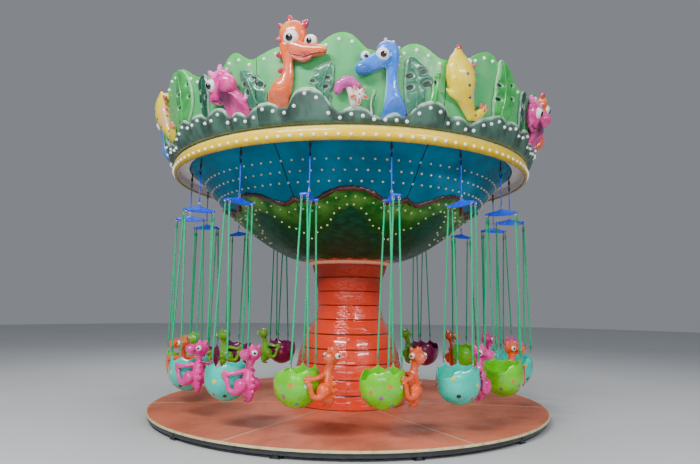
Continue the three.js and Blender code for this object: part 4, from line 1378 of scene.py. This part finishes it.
def leaf(outline, holes, rib):
    """A moulded leaf with rounded lobes, pierced by holes, and its rib, with dark plates in the holes as
    painted shade.
    """
    loops = [rounded(outline)] + [oval(*hole) for hole in holes]
    form = Form()
    plate(form, loops, 0.046, -0.004)
    skin = form.grown("crown_leaf", 0.0085)
    for vertex, far in zip(skin.vertices, edge_distance(skin, loops)):
        vertex.co.y *= 0.42 + 0.58 * math.sqrt(min(far / 0.05, 1)) if vertex.co.y < 0 else 1
    skin = thinned(settle(skin, 1), 0.26)
    layer = skin.attributes.new("edge", "FLOAT", "POINT")
    layer.data.foreach_set("value", edge_distance(skin, loops))
    note(skin, "joint", lambda x, y, z: x + math.radians(PANEL / 2) * FLAT_RADIUS)
    extra = Form()
    extra.limb([(x, -0.042, z, 0.014 - 0.002 * i) for i, (x, z) in enumerate(rib)], 0, 10)
    # painted shade: dark plates behind the holes
    for hole in holes:
        plate(extra, [oval(*hole, 1.25)], 0.012, 0.004, 1)
    return bent_skin(skin), extra.bent().mesh("crown_leaf_rib")


def leaf_paint(tone):
    """Green gel coat, sprayed white on the edges of the lobes."""
    base = tint(LEAF_TONES[tone])
    made = gel_coat(f"{tone} leaf paint", base, 0.7, 1.2, 5, 0.32, 0.15)
    drift = made.math("MULTIPLY", made.noise(22, 4), 0.02)
    shore = made.rise(made.math("ADD", made.value("edge"), drift), 0.008, 0.03)
    whole = made.blend(shore, towards(base, PALE_LEAF, 0.4), made.tone())
    to_joint = made.math("ABSOLUTE", made.value("joint"), 0)
    made.into("Base Color", made.blend(made.rise(to_joint, 0.004, 0.009), tint(DARK_JOINT), whole))
    return made.material


def crown_leaves():
    """Pierced leaves in relief."""
    # painted shade for the dark plates in the leaves' holes
    shade = gel_coat("leaf shade", tint("0f3a2a"), 0.7, 1.2, 8, 0.5, 0.2, 0.1).material
    paints, ribs = {}, {}
    for tone, code in LEAF_TONES.items():
        paints[tone] = leaf_paint(tone)
        ribs[tone] = gel_coat(f"{tone} rib", toned(tint(code), 1.25), 0.8, 1.1, 8, 0.35, 0.1).material
    for number, (tone, *shape) in enumerate(LEAVES):
        skin, extra = leaf(*shape)
        on_quarters(f"crown_leaf_{number + 1}", skin, [paints[tone]])
        on_quarters(f"crown_leaf_rib_{number + 1}", extra, [ribs[tone], shade])


def crown_reef():
    """A mushroom, a starfish and two blades of grass in relief."""
    reef, dots = Form(), Form()
    cap = (
        (-0.158, 3.93, 0.048), (-0.135, 3.985, 0.06), (-0.07, 4.027, 0.064), (0.0, 4.025, 0.06),
        (0.06, 3.985, 0.046),
    )
    reef.limb([(x, -0.065, z, r) for x, z, r in cap], 0, 18)
    stem = ((-0.03, 3.97, 0.04), (0.0, 3.9, 0.042), (0.03, 3.8, 0.05))
    reef.limb([(x, -0.035, z, r) for x, z, r in stem], 1, 16)
    centre = Vector((0.085, -0.1, 3.87))
    for i in range(5):
        turn = math.radians(52 + 72 * i)
        way = Vector((math.cos(turn), 0, math.sin(turn)))
        arm = ((0, 0.032), (0.05, 0.03), (0.095, 0.018))
        reef.limb([(*(centre + way * far), wide) for far, wide in arm], 1)
        dots.limb([(*(centre + way * far + Vector((0, -0.018, 0))), 0.015) for far in (0.05, 0.088)])
    dots.ball(centre + Vector((0, -0.026, 0)), 0.013, 0, 10, 7)
    for bow, tip, wide, tone in ((0.0, (0.315, 3.985), 0.012, 2), (-0.02, (0.29, 3.96), 0.01, 1)):
        foot = Vector((0.262, -0.03, 3.7))
        end = Vector((tip[0], -0.035, tip[1]))
        blade = []
        for t in (0, 0.3, 0.6, 0.85, 1):
            bend_in = Vector((0.03 * math.sin(math.pi * t) - bow, 0, 0))
            blade.append((*(foot.lerp(end, t) - bend_in), wide * (1.15 - t)))
        reef.limb(blade, tone)
    tones = {"mushroom cap": "c83ca0", "pale coral": "f0e0da", "grass": "1f5038"}
    paints = [airbrushed(name, tint(code)) for name, code in tones.items()]
    on_quarters("crown_reef", reef.bent().mesh("crown_reef"), paints)
    red = airbrushed("coral dots", tint("f0603c"))
    on_quarters("crown_reef_dots", dots.bent().mesh("crown_reef_dots"), [red])


# Seats

def seat_place(i):
    """Where a seat hangs; local x is the way of travel and local -y points outward."""
    return spun((i + 0.5) * 360 / SEAT_COUNT, (0, -HANG_RADIUS, DECK))


def each_seat(name, mesh, finishes, nodes="", only=None):
    """A piece on every seat, or on those of one colour."""
    for i, tone in enumerate(SEAT_COLOURS):
        if only in (None, tone):
            number = f"{i + 1:02d}"
            fit(
                f"{name}_{number}", mesh, finishes, f"swing_{number}", [f"{nodes}_{number}"] if nodes else [],
                seat_place(i),
            )


# The four ropes of a seat: their upper and lower ends
ROPE_LOW = LUG_HEIGHT + 0.048
ROPE_ENDS = [((-0.036, s * 0.2, ROPE_TOP), (-0.1, s * 0.247, ROPE_LOW)) for s in (-1, 1)]
ROPE_ENDS += [((0.036, s * 0.2, ROPE_TOP), (0.074, s * 0.174, ROPE_LOW)) for s in (-1, 1)]


def squared(turn):
    """A point of a rounded square of half-size 1."""
    return [math.copysign(abs(value) ** 0.6, value) for value in (math.cos(turn), math.sin(turn))]


def hanger_metal():
    """Eye, rod, spreader and snap hooks of each seat."""
    form = Form()
    form.hoop((0, 0, PIVOT - 0.0035), 0.0165, 0.0055, (1, 0, 0), finish=1, sides=8)
    form.tube([(0, 0, PIVOT - 0.024), (0, 0, PIVOT - 0.05)], 0.012, 12, 1)
    form.tube([(0, 0, PIVOT - 0.045), (0, 0, 2.9)], 0.0075, 12, 0)
    for low, high, wide in ((2.905, 2.925, 0.012), (3.2, 3.212, 0.0095), (3.05, 3.062, 0.0095)):
        form.tube([(0, 0, low), (0, 0, high)], wide, 12, 0)
    form.hoop((0, 0, 2.885), 0.014, 0.005, (1, 0, 0), finish=2, sides=8)
    form.hoop((0, 0, 2.858), 0.014, 0.005, (0, 1, 0), finish=2, sides=8)
    rings, reach = [], 0.205
    corners = [squared(2 * math.pi * (k + 0.5) / 16) for k in range(16)]
    for y in np.linspace(-reach, reach, 31):
        share = abs(y) / reach
        top = SPREADER + 0.019 + 0.04 * (1 - share) ** 1.3 + 0.012 * wave(0.04 - abs(y), 0, 0.04)
        bottom = SPREADER - 0.019 - 0.016 * (1 - share ** 2)
        half = 0.014 * (1 - 0.5 * wave(share, 0.93, 1))
        middle, high = (top + bottom) / 2, (top - bottom) / 2
        rings.append([(half * across, y, middle + high * up) for across, up in corners])
    form.loft(rings, 0)
    for side in (-1, 1):
        form.limb([(x, side * 0.2, SPREADER - 0.002, 0.0155) for x in (-0.05, 0.05)], 0, 12)
        for x in (-0.036, 0.036):
            form.hoop((x, side * 0.2, 2.769), 0.016, 0.0045, (1, 0, 0), finish=2, sides=7)
            form.hoop((x, side * 0.2, 2.732), 0.011, 0.0045, (0, 1, 0), (0, 0, 0.024), finish=2, sides=7)
    paint = enamel("hanger paint", colours().hanger, 0.3)
    black, zinc = steel("black fitting", tint("202224"), 0.45), steel("zinc fitting", tint("b9bfc4"), 0.28)
    finishes = [paint.material, black.material, zinc.material]
    each_seat("hanger_metal", form.mesh("hanger_metal"), finishes, "seat_hanger")


def hanger_ropes():
    """The four ropes of each seat, taut under its weight, with whipped ends and the rings of the egg."""
    ropes, size = Form(), sizes().rope
    for top, end in ROPE_ENDS:
        top, end = Vector(top), Vector(end)
        way = (end - top).normalized()
        path = [top.lerp(end, t) for t in np.linspace(0, 1, 4)]
        ropes.tube(path, size * 0.86, 10, 0)
        for foot, sign in ((top, 1), (end, -1)):
            ends = ((foot - way * sign * 0.012, size * 0.7), (foot + way * sign * 0.06, size * 1.18))
            ropes.limb([(*place, radius) for place, radius in ends], 1, 10)
        eye, low = end + Vector((0, 0, -0.014)), end + Vector((0, 0, -0.037))
        ropes.hoop(eye, 0.01, 0.0032, (0, 1, 0), finish=2, sides=7)
        ropes.hoop(low, 0.012, 0.0032, (end.y, -end.x - 0.1, 0), finish=2, sides=7)
    base = tuple(colours().rope)
    whipping = gel_coat("rope whipping", toned(base, 0.55), 0.8, 1.1, 40, 0.5, 0.2, 0.1)
    finishes = [rope_sheath(base).material, whipping.material, bpy.data.materials["zinc fitting"]]
    each_seat("hanger_ropes", ropes.mesh("hanger_ropes"), finishes)


def rope_sheath(base):
    """Laid rope: slanting bands, darker in the grooves."""
    made = Finish("rope sheath", 0.5)
    made.shader.inputs["Specular IOR Level"].default_value = 0.2
    spread = made.node("ShaderNodeMapping", {"Vector": made.place, "Scale": (60, 60, 1)})
    lay = made.node(
        "ShaderNodeTexWave",
        {"Vector": spread.outputs["Vector"], "Scale": 34.0, "Distortion": 0.6, "Detail": 2.0},
        wave_type="BANDS", bands_direction="DIAGONAL",
    ).outputs["Fac"]
    made.into("Base Color", made.blend(lay, toned(base, 0.6), toned(base, 1.12)))
    made.into("Roughness", made.rise(made.noise(40, 3), 0.3, 0.7, 0.3, 0.55))
    made.bump(lay, 0.5, 0.002)
    return made


# The broken rim: degrees from outward to the way of travel, and height; four tips carry the ropes
RIM = [
    (0, 0.488), (5, 0.462), (14, 0.415), (24, 0.43), (34, 0.448), (41, 0.455), (46, 0.486), (51, 0.457),
    (66, 0.437), (82, 0.452), (96, 0.462), (112, 0.44), (128, 0.452), (135, 0.49), (141, 0.455),
    (158, 0.425), (174, 0.455), (180, 0.488), (186, 0.455), (203, 0.43), (222, 0.442), (236, 0.415),
    (244, 0.36), (262, 0.335), (284, 0.345), (300, 0.355), (306, 0.41), (322, 0.44), (334, 0.425),
    (346, 0.443), (355, 0.46), (360, 0.488),
]


def rim_height(degrees):
    """Height of the broken rim in some direction."""
    return along(RIM, degrees % 360)


def egg_radius(height):
    """Outer radius of the egg at a height above its lowest point."""
    if height < EGG_RADIUS:
        return EGG_RADIUS * math.sqrt(max(1 - ((EGG_RADIUS - height) / EGG_RADIUS) ** 2, 0))
    return EGG_RADIUS - 0.02 * ((height - EGG_RADIUS) / 0.16) ** 2


def egg_point(degrees, height, out=0.0):
    """A point of the egg; degrees run from outward to the way of travel."""
    turn, radius = math.radians(degrees), egg_radius(height)
    slope = (egg_radius(height + 0.004) - egg_radius(max(height - 0.004, 0))) / 0.008
    tilt = math.hypot(1, slope)
    radius += out / tilt
    lift = EGG_BOTTOM + height - out * slope / tilt
    return Vector((EGG_SHIFT + radius * math.sin(turn), -radius * math.cos(turn), lift))


# Painted spots of each shell: degrees, height, radius, tone
SPOTS = {
    "turquoise": [
        (13, 0.265, 0.026, "e6e030"), (-56, 0.34, 0.026, "e6e030"), (41, 0.09, 0.024, "3a1420"),
        (-43, 0.14, 0.026, "3a1420"), (3, 0.107, 0.022, "d03a90"), (118, 0.25, 0.026, "e6e030"),
        (170, 0.12, 0.024, "d03a90"), (-118, 0.24, 0.024, "3a1420"),
    ],
    "lime": [
        (2, 0.29, 0.027, "f08030"), (-19, 0.165, 0.025, "b04a98"), (38, 0.281, 0.022, "e4e8f4"),
        (17, 0.081, 0.024, "3a88c8"), (-78, 0.128, 0.025, "b04a98"), (-44, 0.223, 0.025, "f08030"),
        (-120, 0.229, 0.026, "f08030"), (160, 0.2, 0.025, "b04a98"),
    ],
    "purple": [
        (4, 0.25, 0.026, "e06a30"), (-50, 0.15, 0.024, "d8c030"), (-95, 0.27, 0.026, "c65aa8"),
        (36, 0.12, 0.022, "c65aa8"), (150, 0.24, 0.025, "e06a30"), (-150, 0.16, 0.024, "d8c030"),
    ],
}


def egg_shell():
    """A round bucket with a broken rim, its wall rounded over at the edge."""
    form, wall, count = Form(), sizes().wall * 0.92, 112
    edge, bottom = 0.006, 0.02
    rings = []
    for k in range(count):
        degrees = 360 * k / count
        rim = rim_height(degrees)
        outer = [0.0002 + rim * (1 - math.cos(math.pi / 2 * i / 14)) for i in range(14)] + [rim - edge]
        inner = [bottom + (rim - edge - bottom) * (1 - math.cos(math.pi / 2 * i / 10)) for i in range(10)]
        lip = ((rim - 0.001, 0.22), (rim, 0.5), (rim - 0.001, 0.78), (rim - edge, 1))
        ring = [egg_point(degrees, h) for h in outer]
        ring += [egg_point(degrees, h, -wall * share) for h, share in lip]
        ring += [egg_point(degrees, h, -wall) for h in inner[::-1]]
        rings.append(ring)
    form.loft(rings, closed=True)
    form.ball((EGG_SHIFT, 0, EGG_BOTTOM + 0.012), (0.08, 0.08, 0.0115), 0, 20, 7)
    return form.mesh("egg_shell", 50)


def egg_spots(tone):
    """The painted spots of one kind of shell, each a thin skin that follows the egg."""
    form = Form()
    tones = sorted({spot[3] for spot in SPOTS[tone]})
    for degrees, height, size, code in SPOTS[tone]:
        rings = []
        for share, out in ((1.0, -0.002), (1.0, 0.0006), (0.94, 0.0012), (0.4, 0.0017)):
            ring = []
            for k in range(16):
                t = 2 * math.pi * k / 16
                across = size * share * (1 + 0.12 * math.sin(2 * t + degrees)) * math.cos(t)
                up = size * share * math.sin(t) * egg_radius(height) / EGG_RADIUS
                here = height + up
                ring.append(egg_point(degrees + math.degrees(across / egg_radius(here)), here, out))
            rings.append(ring)
        form.loft(rings, tones.index(code))
    return form.mesh(f"egg_spots_{tone}"), tones


def eggs():
    """The sixteen shells with their painted spots and their lugs."""
    shell = egg_shell()
    for tone in SPOTS:
        mesh = shell.copy()
        mesh.name = f"egg_shell_{tone}"
        base = tuple(getattr(colours(), tone))
        coat = gel_coat(f"{tone} shell", base, 0.84, 1.08, 5, 0.24, 0.1, 0.7)
        each_seat("egg_shell", mesh, [coat.material], "egg_seat", tone)
        spots, tones = egg_spots(tone)
        paints = [gel_coat(f"{tone} spot {t}", tint(t), 0.85, 1.1, 20, 0.25, 0.05).material for t in tones]
        each_seat("egg_spots", spots, paints, only=tone)
    lugs = Form()
    for _, end in ROPE_ENDS:
        foot = Vector((end[0], end[1], LUG_HEIGHT - 0.012))
        out = Vector((foot.x - EGG_SHIFT, foot.y, 0)).normalized()
        turn = out.to_track_quat("-Y", "Z").to_matrix()
        lugs.block(foot - out * 0.008, (0.026, 0.005, 0.05), turn, edge=0.002)
        lugs.dome(foot + out * 0.004 + Vector((0, 0, -0.014)), out, 0.005)
        eye = foot - out * 0.004 + Vector((0, 0, 0.022))
        lugs.hoop(eye, 0.012, 0.003, out.cross(Vector((0, 0, 1))), sides=7)
    each_seat("egg_lugs", lugs.mesh("egg_lugs"), [bpy.data.materials["zinc fitting"]])


RIDER_TONES = {
    "lime": ("orange", "fa5400"), "turquoise": ("magenta", "f01498"), "purple": ("green", "78c800"),
}


def rider_body():
    """A young dinosaur that hugs the shell from the side that leads."""
    form = Form()
    form.limb([
        (0.235, 0, 0.47, 0.075), (0.25, 0, 0.55, 0.088), (0.258, 0, 0.65, 0.07), (0.262, 0, 0.73, 0.054),
        (0.275, 0, 0.79, 0.043), (0.3, 0, 0.86, 0.055),
    ], sides=18)
    form.ball((0.315, 0.012, 0.925), (0.088, 0.098, 0.092), sides=22, rows=15)
    form.ball((0.31, -0.12, 0.922), (0.068, 0.075, 0.062), sides=20, rows=13)
    form.ball((0.31, -0.105, 0.872), (0.05, 0.068, 0.026), sides=18, rows=11)
    for side in (-1, 1):
        form.ball((0.31 + side * 0.03, -0.178, 0.945), (0.015, 0.014, 0.013), sides=12, rows=9)
        form.ball((0.315 + side * 0.064, -0.028, 0.93), 0.041, sides=16, rows=11)
        form.limb([
            (0.225, side * 0.06, 0.715, 0.033), (0.19, side * 0.155, 0.7, 0.026),
            (0.15, side * 0.19, 0.69, 0.025), (0.12, side * 0.2, 0.685, 0.032),
        ])
        for lift, reach in ((0.036, 0.075), (0.004, 0.055), (-0.032, 0.065)):
            form.limb([
                (0.118, side * 0.2, 0.685 + lift * 0.4, 0.018),
                (0.092, side * 0.222, 0.685 + lift * 0.9, 0.016),
                (reach, side * 0.236, 0.685 + lift, 0.014),
            ])
        form.ball((0.245, side * 0.115, 0.55), (0.085, 0.072, 0.088), sides=20, rows=13)
        form.limb([
            (0.235, side * 0.14, 0.5, 0.05), (0.18, side * 0.165, 0.478, 0.037),
            (0.14, side * 0.188, 0.5, 0.032),
        ])
        form.limb([
            (0.14, side * 0.188, 0.5, 0.03), (0.122, side * 0.205, 0.56, 0.027),
            (0.115, side * 0.212, 0.6, 0.024),
        ])
        for x, y, lift in ((0.095, 0.226, 0.0), (0.112, 0.217, 0.012), (0.131, 0.204, 0.002)):
            form.ball((x, side * y, 0.622 + lift), (0.013, 0.013, 0.02), sides=10, rows=7)
    form.limb([
        (0.27, 0, 0.48, 0.062), (0.3, 0, 0.43, 0.046), (0.285, 0, 0.385, 0.032), (0.245, 0, 0.362, 0.02),
        (0.21, 0, 0.364, 0.012),
    ])
    for height, reach, size in (
        (0.47, 0.325, 0.022), (0.535, 0.332, 0.032), (0.61, 0.32, 0.03), (0.685, 0.302, 0.024),
        (0.75, 0.298, 0.02), (0.81, 0.312, 0.018),
    ):
        spike(form, (reach, 0, height), (1, 0, 0.5), size)
    for x, y, z, lean, size in (
        (0.36, 0.055, 0.99, 0.6, 0.026), (0.27, 0.055, 0.99, -0.6, 0.026), (0.315, -0.015, 1.01, 0, 0.02),
        (0.312, -0.085, 0.972, 0, 0.013),
    ):
        spike(form, (x, y, z), (lean, 0.25, 1), size)
    return thinned(form.grown("rider", 0.0062, 2), 0.13)


def riders():
    """The sixteen young dinosaurs, their eyes and their mouths."""
    body, eyes, mouth = rider_body(), Form(), Form()
    for side in (-1, 1):
        facing = Vector((side, -1, 0.05)).normalized()
        eye_ball(eyes, Vector((0.315 + side * 0.062, -0.03, 0.932)) + facing * 0.014, facing, 0.036, 0.018)
        mouth.ball((0.31 + side * 0.032, -0.191, 0.946), (0.006, 0.004, 0.005), 0, 8, 5)
    smile = [(-0.056, -0.09, 0.896), (-0.05, -0.135, 0.89), (-0.028, -0.165, 0.888), (0, -0.175, 0.888)]
    smile += [(-x, y, z) for x, y, z in smile[-2::-1]]
    mouth.limb([(0.31 + x, y, z, 0.0055) for x, y, z in smile])
    eyes, mouth = eyes.mesh("rider_eyes"), mouth.mesh("rider_mouth")
    dark = gel_coat("mouth line", tint("5a1420"), 0.8, 1.2, 30, 0.4, 0.05)
    for tone, (name, code) in RIDER_TONES.items():
        mesh = body.copy()
        mesh.name = f"rider_{name}"
        each_seat("rider", mesh, [airbrushed(f"{name} rider", tint(code))], only=tone)
    each_seat("rider_eyes", eyes, [bpy.data.materials[name] for name in ("eye white", "pupil", "eye glint")])
    each_seat("rider_mouth", mouth, [dark.material])


# Stage

# Soft lights: place, what they point at, power, width and depth
LIGHTS = {
    "key_light": ((-3.5, -8, 7.5), (0, 0, 2), 760, 4.6, 0.45),
    "fill_light": ((5.5, -8, 6), (0, 0, 2), 320, 4.6, 0.45),
    "top_light": ((0, -0.5, 10.5), (0, 0, 0), 560, 7.0, 7.0),
    "back_light": ((0, 8.5, 7), (0, 0, 3), 200, 5.0, 2.0),
    "low_light": ((-1, -10.5, 2.4), (0, 0, 0.8), 110, 7.0, 0.7),
}

# The photograph's camera: its size and focal length in pixels, its tilt and roll, its distance and its height
PICTURE = (700, 464)
FOCAL_LENGTH = 554.87
PITCH = 0.1251
ROLL = -0.0113
CAMERA_DISTANCE = 9.02
CAMERA_HEIGHT = 1.546
SENSOR = 36


def floor():
    """A plain pale floor."""
    form = Form()
    form.lathe([(0.01, -DECK), (34, -DECK), (34, -DECK - 0.1), (0.01, -DECK - 0.1)], 96)
    ground = bpy.data.objects.new("stage_floor", form.mesh("stage_floor", 30))
    made = Finish("stage floor", 0.8)
    made.into("Base Color", made.blend(made.noise(0.4, 3), tint("c9ccce"), tint("d6d8d8")))
    made.into("Roughness", made.rise(made.noise(3, 3), 0.3, 0.7, 0.7, 0.85))
    ground.data.materials.append(made.material)
    bpy.context.collection.objects.link(ground)


def lights():
    """Soft studio lights and a pale surrounding."""
    for name, (place, aim, power, width, depth) in LIGHTS.items():
        lamp = bpy.data.lights.new(name, "AREA")
        lamp.energy, lamp.shape, lamp.size, lamp.size_y = power, "RECTANGLE", width, depth
        holder = bpy.data.objects.new(name, lamp)
        holder.location = place
        holder.rotation_euler = (Vector(aim) - Vector(place)).to_track_quat("-Z", "Y").to_euler()
        bpy.context.collection.objects.link(holder)
    world = bpy.data.worlds.new("studio")
    world.use_nodes = True
    world.node_tree.nodes["Background"].inputs["Color"].default_value = (0.85, 0.9, 1, 1)
    world.node_tree.nodes["Background"].inputs["Strength"].default_value = 0.27
    bpy.context.scene.world = world


def camera():
    """The camera that the photograph was taken with, as solved from its circles."""
    view = bpy.data.cameras.new("photo_camera")
    view.sensor_width, view.lens = SENSOR, SENSOR * FOCAL_LENGTH / PICTURE[0]
    right, up = Vector((1, 0, 0)), Vector((0, -math.sin(PITCH), math.cos(PITCH)))
    across = right * math.cos(ROLL) - up * math.sin(ROLL)
    upward = right * math.sin(ROLL) + up * math.cos(ROLL)
    back = Vector((0, -math.cos(PITCH), -math.sin(PITCH)))
    turn = Matrix((across, upward, back)).transposed().to_4x4()
    holder = bpy.data.objects.new("photo_camera", view)
    holder.matrix_world = Matrix.Translation((0, -CAMERA_DISTANCE, CAMERA_HEIGHT + DECK)) @ turn
    bpy.context.collection.objects.link(holder)
    bpy.context.scene.camera = holder
    bpy.context.scene.render.resolution_x, bpy.context.scene.render.resolution_y = PICTURE


# Operators

class RIDE_OT_platform(bpy.types.Operator):
    """Deck plates, trim and the steel frame with its feet"""
    bl_idname = "ride.platform"
    bl_label = "Platform"

    def execute(self, context):
        deck_plates()
        under_frame()
        return {"FINISHED"}


class RIDE_OT_column(bpy.types.Operator):
    """Column cladding with its collar and screws"""
    bl_idname = "ride.column"
    bl_label = "Column"

    def execute(self, context):
        cladding()
        collar()
        return {"FINISHED"}


class RIDE_OT_bowl(bpy.types.Operator):
    """Painted bowl with its border and lamps, light ring and sweep"""
    bl_idname = "ride.bowl"
    bl_label = "Bowl"

    def execute(self, context):
        bowl()
        bowl_border()
        bowl_lamps()
        light_ring()
        sweep()
        return {"FINISHED"}


class RIDE_OT_crown(bpy.types.Operator):
    """Crown sheets, hedges, roof and lamps"""
    bl_idname = "ride.crown"
    bl_label = "Crown"

    def execute(self, context):
        crown_walls()
        roof()
        return {"FINISHED"}


class RIDE_OT_figures(bpy.types.Operator):
    """Dinosaurs, leaves and reef in relief on the crown"""
    bl_idname = "ride.figures"
    bl_label = "Figures"

    def execute(self, context):
        crown_leaves()
        crown_reef()
        finishes = eye_finishes()
        for figure in (NECK, BLUE, YELLOW, PINK):
            crown_figure(figure, finishes)
        return {"FINISHED"}


class RIDE_OT_hangers(bpy.types.Operator):
    """Rods, spreaders, hooks and ropes"""
    bl_idname = "ride.hangers"
    bl_label = "Hangers"

    def execute(self, context):
        hanger_metal()
        hanger_ropes()
        return {"FINISHED"}


class RIDE_OT_seats(bpy.types.Operator):
    """Egg seats with their young dinosaurs"""
    bl_idname = "ride.seats"
    bl_label = "Seats"

    def execute(self, context):
        eggs()
        riders()
        return {"FINISHED"}


class RIDE_OT_stage(bpy.types.Operator):
    """Floor, lights and camera"""
    bl_idname = "ride.stage"
    bl_label = "Stage"

    def execute(self, context):
        floor()
        lights()
        camera()
        return {"FINISHED"}


STEPS = (
    RIDE_OT_platform, RIDE_OT_column, RIDE_OT_bowl, RIDE_OT_crown, RIDE_OT_figures,
    RIDE_OT_hangers, RIDE_OT_seats, RIDE_OT_stage,
)


class RIDE_PT_panel(bpy.types.Panel):
    """Sizes, colours and the steps in order"""
    bl_label = "Chair swing ride"
    bl_idname = "RIDE_PT_panel"
    bl_space_type = "VIEW_3D"
    bl_region_type = "UI"
    bl_category = "Ride"

    def draw(self, context):
        layout = self.layout
        for group in (context.scene.ride_sizes, context.scene.ride_colours):
            box = layout.box()
            for name in group.__annotations__:
                box.prop(group, name)
        for step in STEPS:
            layout.operator(step.bl_idname)


CLASSES = (RideSizes, RideColours, *STEPS, RIDE_PT_panel)


def register():
    for kind in CLASSES:
        bpy.utils.register_class(kind)
    bpy.types.Scene.ride_sizes = bpy.props.PointerProperty(type=RideSizes)
    bpy.types.Scene.ride_colours = bpy.props.PointerProperty(type=RideColours)


def unregister():
    del bpy.types.Scene.ride_colours
    del bpy.types.Scene.ride_sizes
    for kind in reversed(CLASSES):
        bpy.utils.unregister_class(kind)


def main():
    register()
    for step in (
        bpy.ops.ride.platform, bpy.ops.ride.column, bpy.ops.ride.bowl, bpy.ops.ride.crown,
        bpy.ops.ride.figures, bpy.ops.ride.hangers, bpy.ops.ride.seats, bpy.ops.ride.stage,
    ):
        step()


if __name__ == "__main__":
    main()
